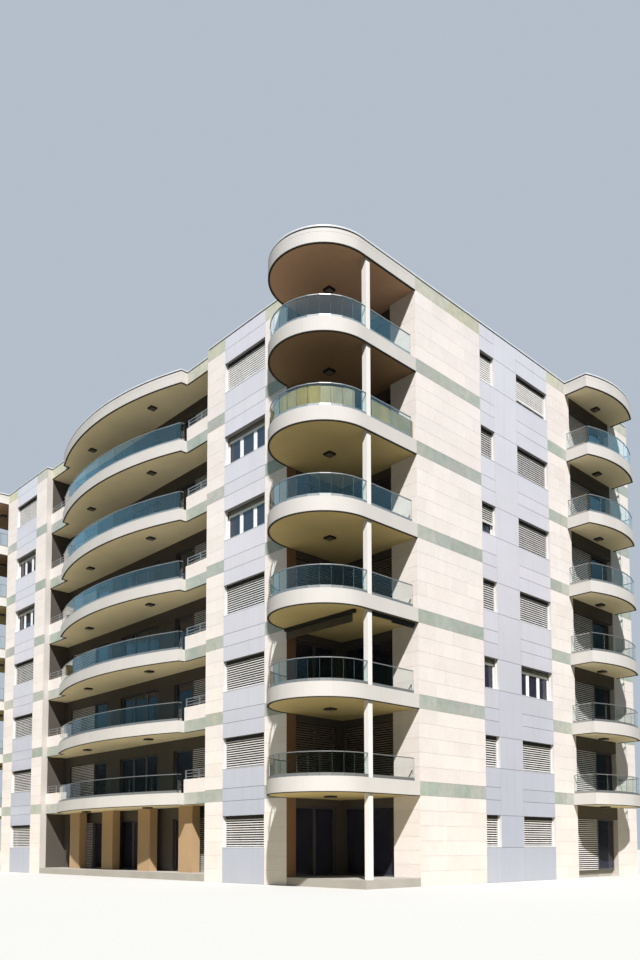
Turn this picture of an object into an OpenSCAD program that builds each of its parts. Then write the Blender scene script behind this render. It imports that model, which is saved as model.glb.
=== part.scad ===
/* [Building] */
// Half of the building's width, from the middle to the outer face of an end wall
half_w = 16550; // [15000:50:18000]
// Depth of the building, from the front face to the back face
depth = 19100; // [18800:50:21000]
// Height from the ground to the first floor
ground_h = 3700; // [3500:50:4200]
// Height from one floor to the next
floor_h = 3100; // [2900:50:3300]
// Upper floors above the ground floor
floors = 6; // [4:1:6]
// Thickness of an outer wall
wall_t = 350; // [300:10:400]
// Depth of a floor slab with its paving, which is also the height of a stone band
band_h = 500; // [400:10:550]
// How deep the stone bands are set into a wall
band_t = 60; // [30:5:80]

/* [Corner balconies] */
// Radius of the round end of a corner balcony
round_r = 1980; // [1800:10:2050]
// Depth of the corner recess along the end wall
recess_v = 2780; // [2600:10:3000]
// Side of the square corner column
column_w = 200; // [160:10:300]
// Number of flat glass panes round the end of a corner balcony
round_panes = 15; // [8:1:18]

/* [Balcony glass] */
// Height of a glass railing above a balcony's edge
railing_h = 820; // [700:10:1000]
// Thickness of the balcony glass
glass_t = 20; // [12:1:30]
// Distance from a balcony's edge to the outside of the glass
glass_inset = 70; // [50:5:120]
// Height of the metal channel that holds the glass
channel_h = 110; // [60:5:150]
// Width of the metal channel
channel_w = 60; // [40:2:80]
// Height of the metal rail along the top of the glass
rail_h = 30; // [20:1:40]
// Width of the top rail
rail_w = 45; // [30:1:60]

/* [Windows] */
// Height of a window's sill above the floor
sill_h = 760; // [600:10:1000]
// Height of a window's opening
window_h = 1250; // [1000:10:1300]
// Distance from the wall's face to a roller shutter
shutter_set = 110; // [80:10:150]
// Distance from the wall's face to the window glass
pane_set = 230; // [200:10:280]

/* [Front] */
// Where the front panel bay starts, measured from the building's corner
front_bay_u0 = 5220; // [5000:10:5400]
// Where the front panel bay ends
front_bay_u1 = 7820; // [7600:10:8000]
// Where the front pier ends and the middle loggia starts
front_pier_u1 = 9020; // [8900:10:9300]
// How far the middle loggia's edge stands back from the front face
loggia_set = 310; // [250:10:340]
// Distance from the front face to the middle loggia's back wall
loggia_back = 1420; // [1200:10:1800]
// Where the bowed middle balcony starts, measured from the corner
bow_u0 = 11000; // [10600:50:11600]
// How far the middle of the bow stands out of the front face
bow_rise = 1000; // [600:50:1200]
// Height of the stone parapet beside the bow
parapet_h = 580; // [400:10:700]
// Height of the metal railing on the parapet
parapet_railing_h = 400; // [300:10:500]
// Where the solid wall between the middle loggia's openings starts, from the corner
loggia_wall_u0 = 13480; // [13000:20:13600]
// Where that wall ends
loggia_wall_u1 = 14830; // [14600:10:15200]
// Distance between the ground-floor pillars
pillar_pitch = 3370; // [3000:10:3500]

/* [End walls] */
// Where the plain stone wall ends and the panel bay starts, from the front face
side_bay_v0 = 6720; // [6600:10:6740]
// Where the narrow windows end and the wide panels start
side_mid_v0 = 7700; // [7650:10:7800]
// Where the wide panels end and the wide windows start
side_mid_v1 = 9280; // [9200:10:9300]
// Where the panel bay ends
side_bay_v1 = 11690; // [11650:10:11750]
// Where the balcony doors start
door_v0 = 13550; // [13400:10:13700]
// Where the balcony doors end
door_v1 = 17200; // [17000:10:17300]
// Where a side balcony starts
side_balcony_v0 = 13250; // [13100:10:13350]
// Where a side balcony ends
side_balcony_v1 = 17480; // [17400:10:17600]
// How far the straight ends of a side balcony stand out
side_reach = 1050; // [900:10:1200]
// How much further the middle of its bowed edge stands out
side_rise = 410; // [250:10:500]

/* [Hidden] */
$fn = 96;

stone = "#efe7dc";
green_stone = "#b9c3b4";
panel_blue = "#ccd0de";
render_white = "#eceae6";
shade_brown = "#6a4a36";
glass_green = "#7fa9a4";
rail_grey = "#b4b6b6";
glass_dark = "#26323a";
slat_grey = "#a9aaa8";
coping_grey = "#c9cbcb";
concrete = "#9b958a";

face_y = (round_r - depth) / 2;
top_floor = floors + 1;
wall_top = ground_h + floors * floor_h;
slab_t = 300;
joint = 8;
eps = 1;

inner_t = 300;
recess_u = 2 * round_r;
glazing_v = recess_v + 120;
glazed_jamb = 450;
return_u = 1240;
corner_pier = 350;
corner_header = 300;
column_set = 50;
column_v = 200;
corner_glass_v1 = 2550;

door_header = 570;
door_set = 250;
side_mid = (side_balcony_v0 + side_balcony_v1) / 2;
side_half = (side_balcony_v1 - side_balcony_v0) / 2;
bow_half = half_w - bow_u0;
loggia_half = half_w - front_pier_u1;
loggia_header = 520;
loggia_end_w = 500;
parapet_t = 200;
parapet_rails = 3;
parapet_posts = 3;
post_w = 50;
bar_h = 30;
bar_t = 20;
side_panes = 6;
bow_panes = 8;
return_gap = 90;
pillar_w = 1040;
pillar_d = 400;
pillar_set = 750;
window_edge = 60;

coping_h = 50;
coping_gap = 70;
coping_gap_set = 35;
coping_w = 400;
coping_joint = 10;
round_lengths = 6;
bow_lengths = 8;
side_bow_lengths = 3;
straight_lengths = 4;
back_lengths = 5;
roof_t = 300;

back_bays = [front_bay_u0, 10400];
bay_w = front_bay_u1 - front_bay_u0;
shutter_t = 40;

// The highest shutters are down, the next two windows stand open, and the rest have slats
front_shutter_drop = [1, 1, 1, 1, 0, 0, 1];
side_narrow_drop = [1, 1, 0, 1, 0.6, 1, 1];
side_wide_drop = [1, 1, 0, 1, 1, 1, 0.8];

function band_top(k) = ground_h + (k - 1) * floor_h;
function storey_base(k) = k == 0 ? slab_t : band_top(k);
function storey_ceiling(k) = band_top(k + 1) - band_h;
function window_head(k) = storey_ceiling(k) - (floor_h - band_h - sill_h - window_h);
function window_sill(k) = window_head(k) - window_h;
function bow_radius(half, rise) = (half * half + rise * rise) / (2 * rise);
function bow_reach(half, rise, inset) = asin((half - inset) / bow_radius(half, rise));

// Places a child at both ends of the building
module both_ends() {
  children();
  mirror([1, 0, 0]) children();
}

// A block given by its distances from the corner: u along the front, v along the end wall
module block(u0, u1, v0, v1, z0, z1) {
  translate([half_w - u1, face_y + v0, z0]) cube([u1 - u0, v1 - v0, z1 - z0]);
}

module block_plan(u0, u1, v0, v1) {
  translate([half_w - u1, face_y + v0]) square([u1 - u0, v1 - v0]);
}

// Plan of everything that runs from the ground to the roof at one end
module standing_plan() {
  pilaster_plan();
  front_pier_plan();
  loggia_side_plan();
  loggia_end_plan();
  loggia_wall_plan();
  corner_pier_plan();
  corner_return_plan();
  side_wall_plan();
}

module pilaster_plan() block_plan(recess_u, front_bay_u0, 0, glazed_jamb);
module front_pier_plan() block_plan(front_bay_u1, front_pier_u1, 0, wall_t);
module loggia_side_plan() block_plan(front_pier_u1 - wall_t, front_pier_u1, wall_t, loggia_back + inner_t);
module loggia_end_plan() block_plan(front_pier_u1, front_pier_u1 + loggia_end_w, loggia_back, loggia_back + inner_t);
module loggia_wall_plan() block_plan(loggia_wall_u0, loggia_wall_u1, loggia_back, loggia_back + inner_t);
module corner_pier_plan() block_plan(recess_u, recess_u + inner_t, glazing_v - corner_pier, glazing_v + inner_t);
module corner_return_plan() block_plan(wall_t, return_u, recess_v, glazing_v + inner_t);
module side_wall_plan() block_plan(0, wall_t, recess_v, depth);

// Plan of a corner balcony: a strip in the recess with a half-round end beyond the front face
module round_plan(inset) {
  translate([half_w - round_r, face_y]) circle(r = round_r - inset);
  block_plan(inset, recess_u - inset, 0, recess_v);
}

// Plan of a bow: the part of a large circle beyond its chord
module bow_plan(half, rise, inset) {
  r = bow_radius(half, rise);
  intersection() {
    translate([0, r - rise]) circle(r = r - inset, $fn = 360);
    translate([-half + inset, -rise]) square([2 * (half - inset), rise + eps]);
  }
}

module side_balcony_plan(inset) {
  translate([half_w + side_reach, face_y + side_mid]) rotate(90) bow_plan(side_half, side_rise, inset);
  block_plan(-side_reach - eps, 0, side_balcony_v0 + inset, side_balcony_v1 - inset);
}

module front_bow_plan(inset) {
  translate([0, face_y]) bow_plan(bow_half, bow_rise, inset);
  translate([-bow_half + inset, face_y]) square([2 * (bow_half - inset), loggia_set]);
}

module footprint() {
  translate([-half_w, face_y]) square([2 * half_w, depth]);
}

// The roof's whole outline with its canopies
module roof_plan(inset) {
  difference() {
    translate([-half_w + inset, face_y + inset]) square([2 * (half_w - inset), depth - 2 * inset]);
    translate([-loggia_half - inset, face_y]) square([2 * (loggia_half + inset), loggia_set + inset]);
  }
  both_ends() round_plan(inset);
  both_ends() side_balcony_plan(inset);
  both_ends() block_plan(-side_reach, inset + eps, side_balcony_v0 + inset, side_balcony_v1 - inset);
  front_bow_plan(inset);
  translate([-bow_half + inset, face_y]) square([2 * (bow_half - inset), loggia_set + inset + eps]);
}

// Plan of a floor inside the walls, out to the edge of the middle loggia
module slab_shape() {
  difference() {
    translate([-half_w + wall_t, face_y + wall_t])
      square([2 * (half_w - wall_t), depth - 2 * wall_t]);
    both_ends() block_plan(0, recess_u, 0, recess_v);
    both_ends() standing_plan();
    translate([-loggia_half, face_y]) square([2 * loggia_half, loggia_set + band_t]);
  }
}

module ground_slab() {
  color(concrete) linear_extrude(slab_t) difference() {
    footprint();
    both_ends() standing_plan();
    both_ends() block_plan(front_bay_u0, front_bay_u1, 0, wall_t);
    translate([-half_w, face_y + depth - wall_t]) square([2 * half_w, wall_t]);
    ground_pillars_plan();
  }
}

module floor_slabs() {
  color(concrete) for (k = [1 : floors])
    translate([0, 0, band_top(k) - band_h]) linear_extrude(band_h) slab_shape();
}

module roof_slab() {
  color(concrete) translate([0, 0, wall_top - band_h]) linear_extrude(roof_t) slab_shape();
}

// A light cap on a dark recessed joint, all round the roof and its canopies, in lengths
module roof_coping() {
  color(coping_grey) translate([0, 0, wall_top]) difference() {
    union() {
      linear_extrude(coping_gap) difference() {
        roof_plan(coping_gap_set);
        roof_plan(coping_w - coping_gap_set);
      }
      translate([0, 0, coping_gap]) linear_extrude(coping_h) difference() {
        roof_plan(0);
        roof_plan(coping_w);
      }
    }
    coping_joints();
  }
}

// Thin cuts between the lengths of coping: at each turn, and evenly along the straights and bows
module coping_joints() {
  turn = coping_w + loggia_set;
  bow_r = bow_radius(bow_half, bow_rise);
  side_r = bow_radius(side_half, side_rise);
  both_ends() {
    for (u = [(recess_u + front_pier_u1) / 2, front_pier_u1 - coping_w, front_pier_u1, bow_u0])
      front_cut(u, 0, turn);
    for (i = [1 : straight_lengths]) side_cut(side_balcony_v0 * i / straight_lengths);
    for (v = [side_balcony_v1, depth - coping_w]) side_cut(v);
    for (i = [1 : back_lengths]) front_cut(half_w * i / back_lengths, depth - coping_w, depth);
    translate([half_w - round_r, face_y]) radial_cuts(round_r, 180, round_lengths);
    translate([half_w + side_reach + side_rise - side_r, face_y + side_mid]) rotate(90)
      radial_cuts(side_r, 2 * bow_reach(side_half, side_rise, coping_w), side_bow_lengths);
  }
  translate([0, face_y + bow_r - bow_rise])
    radial_cuts(bow_r, 2 * bow_reach(bow_half, bow_rise, coping_w), bow_lengths);
}

module front_cut(u, v0, v1) {
  half = coping_joint / 2;
  block(u - half, u + half, v0 - eps, v1 + eps, -eps, coping_gap + coping_h + eps);
}

module side_cut(v) {
  half = coping_joint / 2;
  block(-eps, coping_w + eps, v - half, v + half, -eps, coping_gap + coping_h + eps);
}

// Cuts through a ring of coping, spread over an arc whose middle points to -Y
module radial_cuts(r, arc, lengths) {
  for (i = [0 : lengths]) rotate(-90 - arc / 2 + i * arc / lengths)
    translate([r - coping_w - eps, -coping_joint / 2, -eps])
      cube([coping_w + 2 * eps, coping_joint, coping_gap + coping_h + 2 * eps]);
}

// A stone wall with one groove for each band
module banded_wall(u0, u1, v0, v1, front_face) {
  difference() {
    block(u0, u1, v0, v1, 0, wall_top);
    for (k = [1 : top_floor]) band(u0, u1, v0, v1, front_face, k, eps);
  }
}

// A band on a wall's front face, its outer end face or its back face
module band(u0, u1, v0, v1, face, k, over) {
  z0 = band_top(k) - band_h;
  z1 = band_top(k) + (k == top_floor ? over : 0);
  if (face == "front") block(u0 - over, u1 + over, v0 - over, v0 + band_t, z0, z1);
  if (face == "end") block(u0 - over, u0 + band_t, v0 - over, v1 + over, z0, z1);
  if (face == "back") block(u0 - over, u1 + over, v1 - band_t, v1 + over, z0, z1);
}

module front_pilasters() {
  color(stone) both_ends() banded_wall(recess_u, front_bay_u0, 0, glazed_jamb, "front");
}

module front_piers() {
  color(stone) both_ends() banded_wall(front_bay_u1, front_pier_u1, 0, wall_t, "front");
}

module front_bands() {
  color(green_stone) both_ends() for (k = [1 : top_floor]) {
    band(recess_u, front_bay_u0, 0, glazed_jamb, "front", k, 0);
    band(front_bay_u1, front_pier_u1, 0, wall_t, "front", k, 0);
  }
}

// Lengths of wall between the windows of one bay, from the ground to the roof
module spandrels(u0, u1, v0, v1) {
  block(u0, u1, v0, v1, 0, window_sill(0));
  for (k = [1 : floors]) block(u0, u1, v0, v1, window_head(k - 1), window_sill(k));
  block(u0, u1, v0, v1, window_head(floors), wall_top);
}

module front_bay_walls() {
  color(panel_blue) both_ends() spandrels(front_bay_u0, front_bay_u1, 0, wall_t);
}

module front_window_glass() {
  color(glass_dark) both_ends() for (k = [0 : floors])
    block(front_bay_u0, front_bay_u1, pane_set, pane_set + glass_t, window_sill(k), window_head(k));
}

// A closed or part-lowered shutter hangs down from the window's head
module shutter(u0, u1, v0, v1, k, drop) {
  if (drop > 0) block(u0, u1, v0, v1, window_head(k) - drop * window_h, window_head(k));
}

module front_shutters() {
  color(slat_grey) both_ends() for (k = [0 : floors])
    shutter(front_bay_u0, front_bay_u1 - window_edge, shutter_set, shutter_set + shutter_t, k,
            front_shutter_drop[k]);
}

// The loggia's side walls, and the solid lengths of its back wall
module front_loggia_walls() {
  color(shade_brown) both_ends() linear_extrude(wall_top - band_h + roof_t) {
    loggia_side_plan();
    loggia_end_plan();
    loggia_wall_plan();
  }
}

// The three wide openings of the middle loggia's back wall
module loggia_bays(z0, z1, v0, v1) {
  both_ends() block(front_pier_u1 + loggia_end_w, loggia_wall_u0, v0, v1, z0, z1);
  block(loggia_wall_u1, 2 * half_w - loggia_wall_u1, v0, v1, z0, z1);
}

module front_loggia_headers() {
  color(shade_brown) for (k = [0 : floors])
    loggia_bays(storey_ceiling(k) - loggia_header, storey_ceiling(k), loggia_back, loggia_back + inner_t);
}

module front_loggia_glazing() {
  color(glass_dark) for (k = [0 : floors])
    loggia_bays(storey_base(k), storey_ceiling(k) - loggia_header, loggia_back + inner_t / 2,
                loggia_back + inner_t / 2 + glass_t);
}

// The band along the edge of the middle loggia, beside the bow
module front_loggia_bands() {
  color(green_stone) both_ends() for (k = [1 : top_floor])
    block(front_pier_u1, bow_u0, loggia_set, loggia_set + band_t, band_top(k) - band_h, band_top(k));
}

module front_loggia_parapets() {
  color(stone) both_ends() for (k = [1 : floors])
    block(front_pier_u1, bow_u0, loggia_set, loggia_set + parapet_t, band_top(k), band_top(k) + parapet_h);
}

module front_bow_balconies() {
  color(render_white) for (k = [1 : top_floor])
    translate([0, 0, band_top(k) - band_h]) linear_extrude(band_h) {
      front_bow_plan(0);
      translate([-bow_half, face_y]) square([2 * bow_half, loggia_set + band_t]);
    }
}

// Flat bars on the stone parapets, between posts
module parapet_railings() {
  v0 = loggia_set + (parapet_t - bar_t) / 2;
  post_v0 = loggia_set + (parapet_t - post_w) / 2;
  post_gap = (bow_u0 - front_pier_u1 - post_w) / (parapet_posts - 1);
  bar_gap = parapet_railing_h / parapet_rails;
  color(rail_grey) both_ends() for (k = [1 : floors]) {
    z = band_top(k) + parapet_h;
    for (i = [1 : parapet_rails])
      block(front_pier_u1, bow_u0, v0, v0 + bar_t, z + i * bar_gap - bar_h, z + i * bar_gap);
    for (i = [0 : parapet_posts - 1])
      block(front_pier_u1 + i * post_gap, front_pier_u1 + i * post_gap + post_w, post_v0, post_v0 + post_w,
            z, z + parapet_railing_h);
  }
}

// Flat pieces of one width standing end to end round an arc whose middle points to -Y,
// with mitred ends and their outer corners on the circle
module faceted_ring(r, w, arc, count, h) {
  step = arc / count;
  trim = joint / r * 180 / PI / 2;
  inner = r - w / cos(step / 2);
  for (i = [0 : count - 1]) {
    a = -90 - arc / 2 + i * step;
    ends = [a + trim, a + step - trim];
    linear_extrude(h) polygon([
      for (p = [[r, ends[0]], [r, ends[1]], [inner, ends[1]], [inner, ends[0]]]) p[0] * [cos(p[1]), sin(p[1])]
    ]);
  }
}

// A channel, glass or rail of width w round a bow, centred on the glass
module bow_ring(half, rise, count, w, h) {
  r = bow_radius(half, rise);
  proud = (w - glass_t) / 2;
  translate([0, r - rise, 0])
    faceted_ring(r - glass_inset + proud, w, 2 * bow_reach(half, rise, glass_inset), count, h);
}

// One layer of the railings on the middle balconies: the bow, and short returns towards the parapets
module front_railing(w, z0, z1) {
  r = bow_radius(bow_half, bow_rise);
  end_v = r - bow_rise - (r - glass_inset - w) * cos(bow_reach(bow_half, bow_rise, glass_inset));
  u0 = bow_u0 + glass_inset - (w - glass_t) / 2;
  for (k = [1 : floors]) translate([0, 0, band_top(k)]) {
    translate([0, face_y, z0]) bow_ring(bow_half, bow_rise, bow_panes, w, z1 - z0);
    both_ends() block(u0, u0 + w, end_v + joint, loggia_set - return_gap, z0, z1);
  }
}

// One layer of the railings on the corner balconies: the round end, and straight on past the column
module corner_railing(w, z0, z1) {
  proud = (w - glass_t) / 2;
  u0 = glass_inset - proud;
  mid_v = (column_v + column_w + corner_glass_v1) / 2;
  runs = [
    [joint, column_v - joint],
    [column_v + column_w + joint, mid_v - joint / 2],
    [mid_v + joint / 2, corner_glass_v1]
  ];
  both_ends() for (k = [1 : floors]) translate([0, 0, band_top(k)]) {
    translate([half_w - round_r, face_y, z0])
      faceted_ring(round_r - glass_inset + proud, w, 180, round_panes, z1 - z0);
    for (run = runs) block(u0, u0 + w, run[0], run[1], z0, z1);
  }
}

// One layer of the railings on the side balconies: the bow, and its two straight ends
module side_railing(w, z0, z1) {
  proud = (w - glass_t) / 2;
  end_u = -side_reach + glass_inset + w;
  both_ends() for (k = [1 : floors]) translate([0, 0, band_top(k)]) {
    translate([half_w + side_reach, face_y + side_mid, z0]) rotate(90)
      bow_ring(side_half, side_rise, side_panes, w, z1 - z0);
    for (v = [side_balcony_v0 + glass_inset - proud, side_balcony_v1 - glass_inset + proud - w])
      block(end_u, -joint, v, v + w, z0, z1);
  }
}

module front_bow_glass() {
  color(glass_green) front_railing(glass_t, channel_h, railing_h - rail_h);
}

module glass_channels() {
  color(rail_grey) {
    front_railing(channel_w, 0, channel_h);
    corner_railing(channel_w, 0, channel_h);
    side_railing(channel_w, 0, channel_h);
  }
}

module glass_top_rails() {
  color(rail_grey) {
    front_railing(rail_w, railing_h - rail_h, railing_h);
    corner_railing(rail_w, railing_h - rail_h, railing_h);
    side_railing(rail_w, railing_h - rail_h, railing_h);
  }
}

module ground_pillars_plan() {
  for (x = [-1.5, -0.5, 0.5, 1.5] * pillar_pitch)
    translate([x - pillar_w / 2, face_y + pillar_set]) square([pillar_w, pillar_d]);
}

module ground_pillars() {
  color(shade_brown) linear_extrude(band_top(1) - band_h) ground_pillars_plan();
}

module corner_balconies() {
  color(render_white) both_ends() for (k = [1 : top_floor])
    translate([0, 0, band_top(k) - band_h]) linear_extrude(band_h) round_plan(0);
}

// One length of column for each storey, from deck to deck
module corner_columns() {
  color(render_white) both_ends() for (k = [0 : floors])
    block(column_set, column_set + column_w, column_v, column_v + column_w, storey_base(k), storey_ceiling(k));
}

module corner_piers() {
  color(shade_brown) both_ends() linear_extrude(wall_top - band_h + roof_t) corner_pier_plan();
}

module corner_return_walls() {
  color(stone) both_ends() linear_extrude(wall_top - band_h + roof_t) corner_return_plan();
}

// The two glazed sides of a corner recess at one storey
module corner_openings(z0, z1, set, t) {
  block(recess_u + set, recess_u + set + t, glazed_jamb, glazing_v - corner_pier, z0, z1);
  block(return_u, recess_u, glazing_v + set, glazing_v + set + t, z0, z1);
}

module corner_headers() {
  color(shade_brown) both_ends() for (k = [0 : floors])
    corner_openings(storey_ceiling(k) - corner_header, storey_ceiling(k), 0, inner_t);
}

module corner_glazing() {
  color(glass_dark) both_ends() for (k = [0 : floors])
    corner_openings(storey_base(k), storey_ceiling(k) - corner_header, inner_t / 2, glass_t);
}

module corner_balcony_glass() {
  color(glass_green) corner_railing(glass_t, channel_h, railing_h - rail_h);
}

module side_stone_walls() {
  color(stone) both_ends() banded_wall(0, wall_t, recess_v, side_bay_v0, "end");
}

module side_pilasters() {
  color(stone) both_ends() banded_wall(0, wall_t, side_bay_v1, door_v0, "end");
}

module end_walls() {
  color(stone) both_ends() banded_wall(0, wall_t, door_v1, depth, "end");
}

// Beams over the balcony doors, which carry the side balconies
module side_lintels() {
  color(shade_brown) both_ends() {
    for (k = [1 : floors])
      block(0, wall_t, door_v0, door_v1, band_top(k) - band_h - door_header, band_top(k));
    block(0, wall_t, door_v0, door_v1, wall_top - band_h - door_header, wall_top);
  }
}

module side_wide_panels() {
  color(panel_blue) both_ends() block(0, wall_t, side_mid_v0, side_mid_v1, 0, wall_top);
}

module side_bay_walls() {
  color(panel_blue) both_ends() {
    spandrels(0, wall_t, side_bay_v0, side_mid_v0);
    spandrels(0, wall_t, side_mid_v1, side_bay_v1);
  }
}

module side_bands() {
  color(green_stone) both_ends() for (k = [1 : top_floor]) {
    band(0, wall_t, recess_v, side_bay_v0, "end", k, 0);
    band(0, wall_t, side_bay_v1, door_v0, "end", k, 0);
    band(0, wall_t, door_v1, depth, "end", k, 0);
  }
}

module side_window_glass() {
  color(glass_dark) both_ends() for (k = [0 : floors]) {
    block(pane_set, pane_set + glass_t, side_bay_v0, side_mid_v0, window_sill(k), window_head(k));
    block(pane_set, pane_set + glass_t, side_mid_v1, side_bay_v1, window_sill(k), window_head(k));
  }
}

module side_shutters() {
  color(slat_grey) both_ends() for (k = [0 : floors]) {
    shutter(shutter_set, shutter_set + shutter_t, side_bay_v0, side_mid_v0 - window_edge, k,
            side_narrow_drop[k]);
    shutter(shutter_set, shutter_set + shutter_t, side_mid_v1, side_bay_v1 - window_edge, k,
            side_wide_drop[k]);
  }
}

module side_balconies() {
  color(render_white) both_ends() for (k = [1 : top_floor])
    translate([0, 0, band_top(k) - band_h]) linear_extrude(band_h) side_balcony_plan(0);
}

module side_balcony_glass() {
  color(glass_green) side_railing(glass_t, channel_h, railing_h - rail_h);
}

module side_door_glazing() {
  color(glass_dark) both_ends() for (k = [0 : floors])
    block(door_set, door_set + glass_t, door_v0, door_v1, storey_base(k), storey_ceiling(k) - door_header);
}

// The back repeats the front's panel bays in a plain stone wall
module back_stone_walls() {
  color(stone) {
    both_ends() banded_wall(wall_t, back_bays[0], depth - wall_t, depth, "back");
    both_ends() banded_wall(back_bays[0] + bay_w, back_bays[1], depth - wall_t, depth, "back");
    banded_wall(back_bays[1] + bay_w, 2 * half_w - back_bays[1] - bay_w, depth - wall_t, depth, "back");
  }
}

module back_bands() {
  color(green_stone) for (k = [1 : top_floor]) {
    both_ends() band(wall_t, back_bays[0], 0, depth, "back", k, 0);
    both_ends() band(back_bays[0] + bay_w, back_bays[1], 0, depth, "back", k, 0);
    band(back_bays[1] + bay_w, 2 * half_w - back_bays[1] - bay_w, 0, depth, "back", k, 0);
  }
}

module back_bay_walls() {
  color(panel_blue) both_ends() for (u = back_bays) spandrels(u, u + bay_w, depth - wall_t, depth);
}

module back_window_glass() {
  color(glass_dark) both_ends() for (u = back_bays) for (k = [0 : floors])
    block(u, u + bay_w, depth - pane_set - glass_t, depth - pane_set, window_sill(k), window_head(k));
}

module back_shutters() {
  color(slat_grey) both_ends() for (u = back_bays) for (k = [0 : floors])
    shutter(u + window_edge, u + bay_w, depth - shutter_set - shutter_t, depth - shutter_set, k,
            front_shutter_drop[k]);
}

ground_slab();
floor_slabs();
roof_slab();
roof_coping();
front_pilasters();
front_piers();
front_bay_walls();
front_bands();
front_window_glass();
front_shutters();
front_loggia_walls();
front_loggia_headers();
front_loggia_glazing();
front_loggia_bands();
front_loggia_parapets();
front_bow_balconies();
front_bow_glass();
parapet_railings();
ground_pillars();
corner_balconies();
corner_columns();
corner_piers();
corner_return_walls();
corner_headers();
corner_glazing();
corner_balcony_glass();
side_stone_walls();
side_pilasters();
end_walls();
side_lintels();
side_wide_panels();
side_bay_walls();
side_bands();
side_window_glass();
side_shutters();
side_balconies();
side_balcony_glass();
side_door_glazing();
glass_channels();
glass_top_rails();
back_stone_walls();
back_bay_walls();
back_bands();
back_window_glass();
back_shutters();
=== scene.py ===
import math
import random
from functools import cache

import bmesh
import bpy
from bpy.props import FloatProperty, FloatVectorProperty, IntProperty, PointerProperty
from mathutils import Matrix, Vector


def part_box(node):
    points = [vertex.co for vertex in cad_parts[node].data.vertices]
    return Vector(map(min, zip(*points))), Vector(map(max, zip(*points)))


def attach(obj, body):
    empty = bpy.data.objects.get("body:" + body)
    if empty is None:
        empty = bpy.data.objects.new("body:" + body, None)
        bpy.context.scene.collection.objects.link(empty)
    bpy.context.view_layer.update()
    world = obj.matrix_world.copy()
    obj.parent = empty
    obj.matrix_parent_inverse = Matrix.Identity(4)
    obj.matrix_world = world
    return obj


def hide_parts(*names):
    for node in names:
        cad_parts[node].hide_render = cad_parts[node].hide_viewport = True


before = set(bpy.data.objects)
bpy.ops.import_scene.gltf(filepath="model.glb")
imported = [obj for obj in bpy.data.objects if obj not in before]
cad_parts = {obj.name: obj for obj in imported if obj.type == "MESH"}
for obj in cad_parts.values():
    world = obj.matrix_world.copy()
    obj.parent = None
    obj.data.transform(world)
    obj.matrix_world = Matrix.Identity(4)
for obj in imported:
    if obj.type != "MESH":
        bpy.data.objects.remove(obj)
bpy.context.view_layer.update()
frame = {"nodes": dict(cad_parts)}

bl_info = {
    "name": "Corner Apartment Block",
    "version": (1, 0, 0),
    "blender": (4, 5, 0),
    "location": "View3D > Sidebar > Apartment Block",
    "description": "Dresses the apartment block with cladding, windows, shutters, balconies and glass",
    "category": "Add Mesh",
}

BODY = "root"
WELD = 0.0005
UP = Vector((0, 0, 1))
BOTH_ENDS = (1, -1)

# Sockets of the Mix node when it mixes colours
MIX_A = 6
MIX_B = 7
MIX_RESULT = 2


# Frame: what the construction says about the building

def solids(node):
    """Boxes of a node's separate solids, as (lowest corner, highest corner), from the bottom up."""
    shell = bmesh.new()
    shell.from_mesh(frame["nodes"][node].data)
    bmesh.ops.remove_doubles(shell, verts=shell.verts, dist=WELD)
    found = []
    waiting = set(shell.verts)
    while waiting:
        reached = [waiting.pop()]
        for vertex in reached:
            for edge in vertex.link_edges:
                other = edge.other_vert(vertex)
                if other in waiting:
                    waiting.remove(other)
                    reached.append(other)
        low = Vector([min(v.co[i] for v in reached) for i in range(3)])
        high = Vector([max(v.co[i] for v in reached) for i in range(3)])
        found.append((low, high))
    shell.free()
    return sorted(found, key=lambda box: [round(value, 3) for value in reversed(box[0])])


HALF_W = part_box("side_wide_panels")[1].x
FRONT_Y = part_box("front_piers")[0].y
BACK_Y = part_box("back_stone_walls")[1].y
WALL_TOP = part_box("front_piers")[1].z
BAND_LEVELS = sorted({(round(low.z, 4), round(high.z, 4)) for low, high in solids("front_bands")})
BAND_EDGES = [edge for band in BAND_LEVELS for edge in band]
BAND_H = BAND_EDGES[1] - BAND_EDGES[0]
GROUND_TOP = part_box("ground_slab")[1].z
CEILINGS = [low for low, high in BAND_LEVELS]
FLOORS = [GROUND_TOP] + [high for low, high in BAND_LEVELS[:-1]]
STOREYS = len(FLOORS)


def storey_of(z):
    """Number of the storey that a height lies in, 0 on the ground."""
    return max(k for k in range(STOREYS) if FLOORS[k] <= z + WELD)


class Facade:
    """A flat outer face: places on it are given along it, inwards from it and by height."""

    def __init__(self, name, origin, along, inward):
        self.name = name
        self.origin = Vector(origin)
        self.along = Vector(along)
        self.inward = Vector(inward)
        self.turn = math.atan2(self.along.y, self.along.x)

    def at(self, along, depth, height):
        return self.origin + self.along * along + self.inward * depth + UP * height

    def span(self, box):
        """Where a box starts and ends along the facade."""
        return sorted(self.along.dot(corner) for corner in box)

    def depth(self, box):
        """How far inwards a box starts and ends."""
        return sorted(self.inward.dot(corner - self.origin) for corner in box)

    def place(self, box):
        """Where a box starts and ends along the facade, inwards from it and in height."""
        return self.span(box), self.depth(box), (box[0].z, box[1].z)


FRONT = Facade("front", (0, FRONT_Y, 0), (1, 0, 0), (0, 1, 0))
BACK = Facade("back", (0, BACK_Y, 0), (1, 0, 0), (0, -1, 0))
RIGHT = Facade("side", (HALF_W, 0, 0), (0, 1, 0), (-1, 0, 0))
LEFT = Facade("side", (-HALF_W, 0, 0), (0, 1, 0), (1, 0, 0))


def end_facade(box):
    return RIGHT if box[0].x > 0 else LEFT


def facade_of(node, box):
    """The facade that a solid of a node lies on: the one that the node is named after, or its own end."""
    return {"front": FRONT, "back": BACK}.get(node.split("_")[0]) or end_facade(box)


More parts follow.
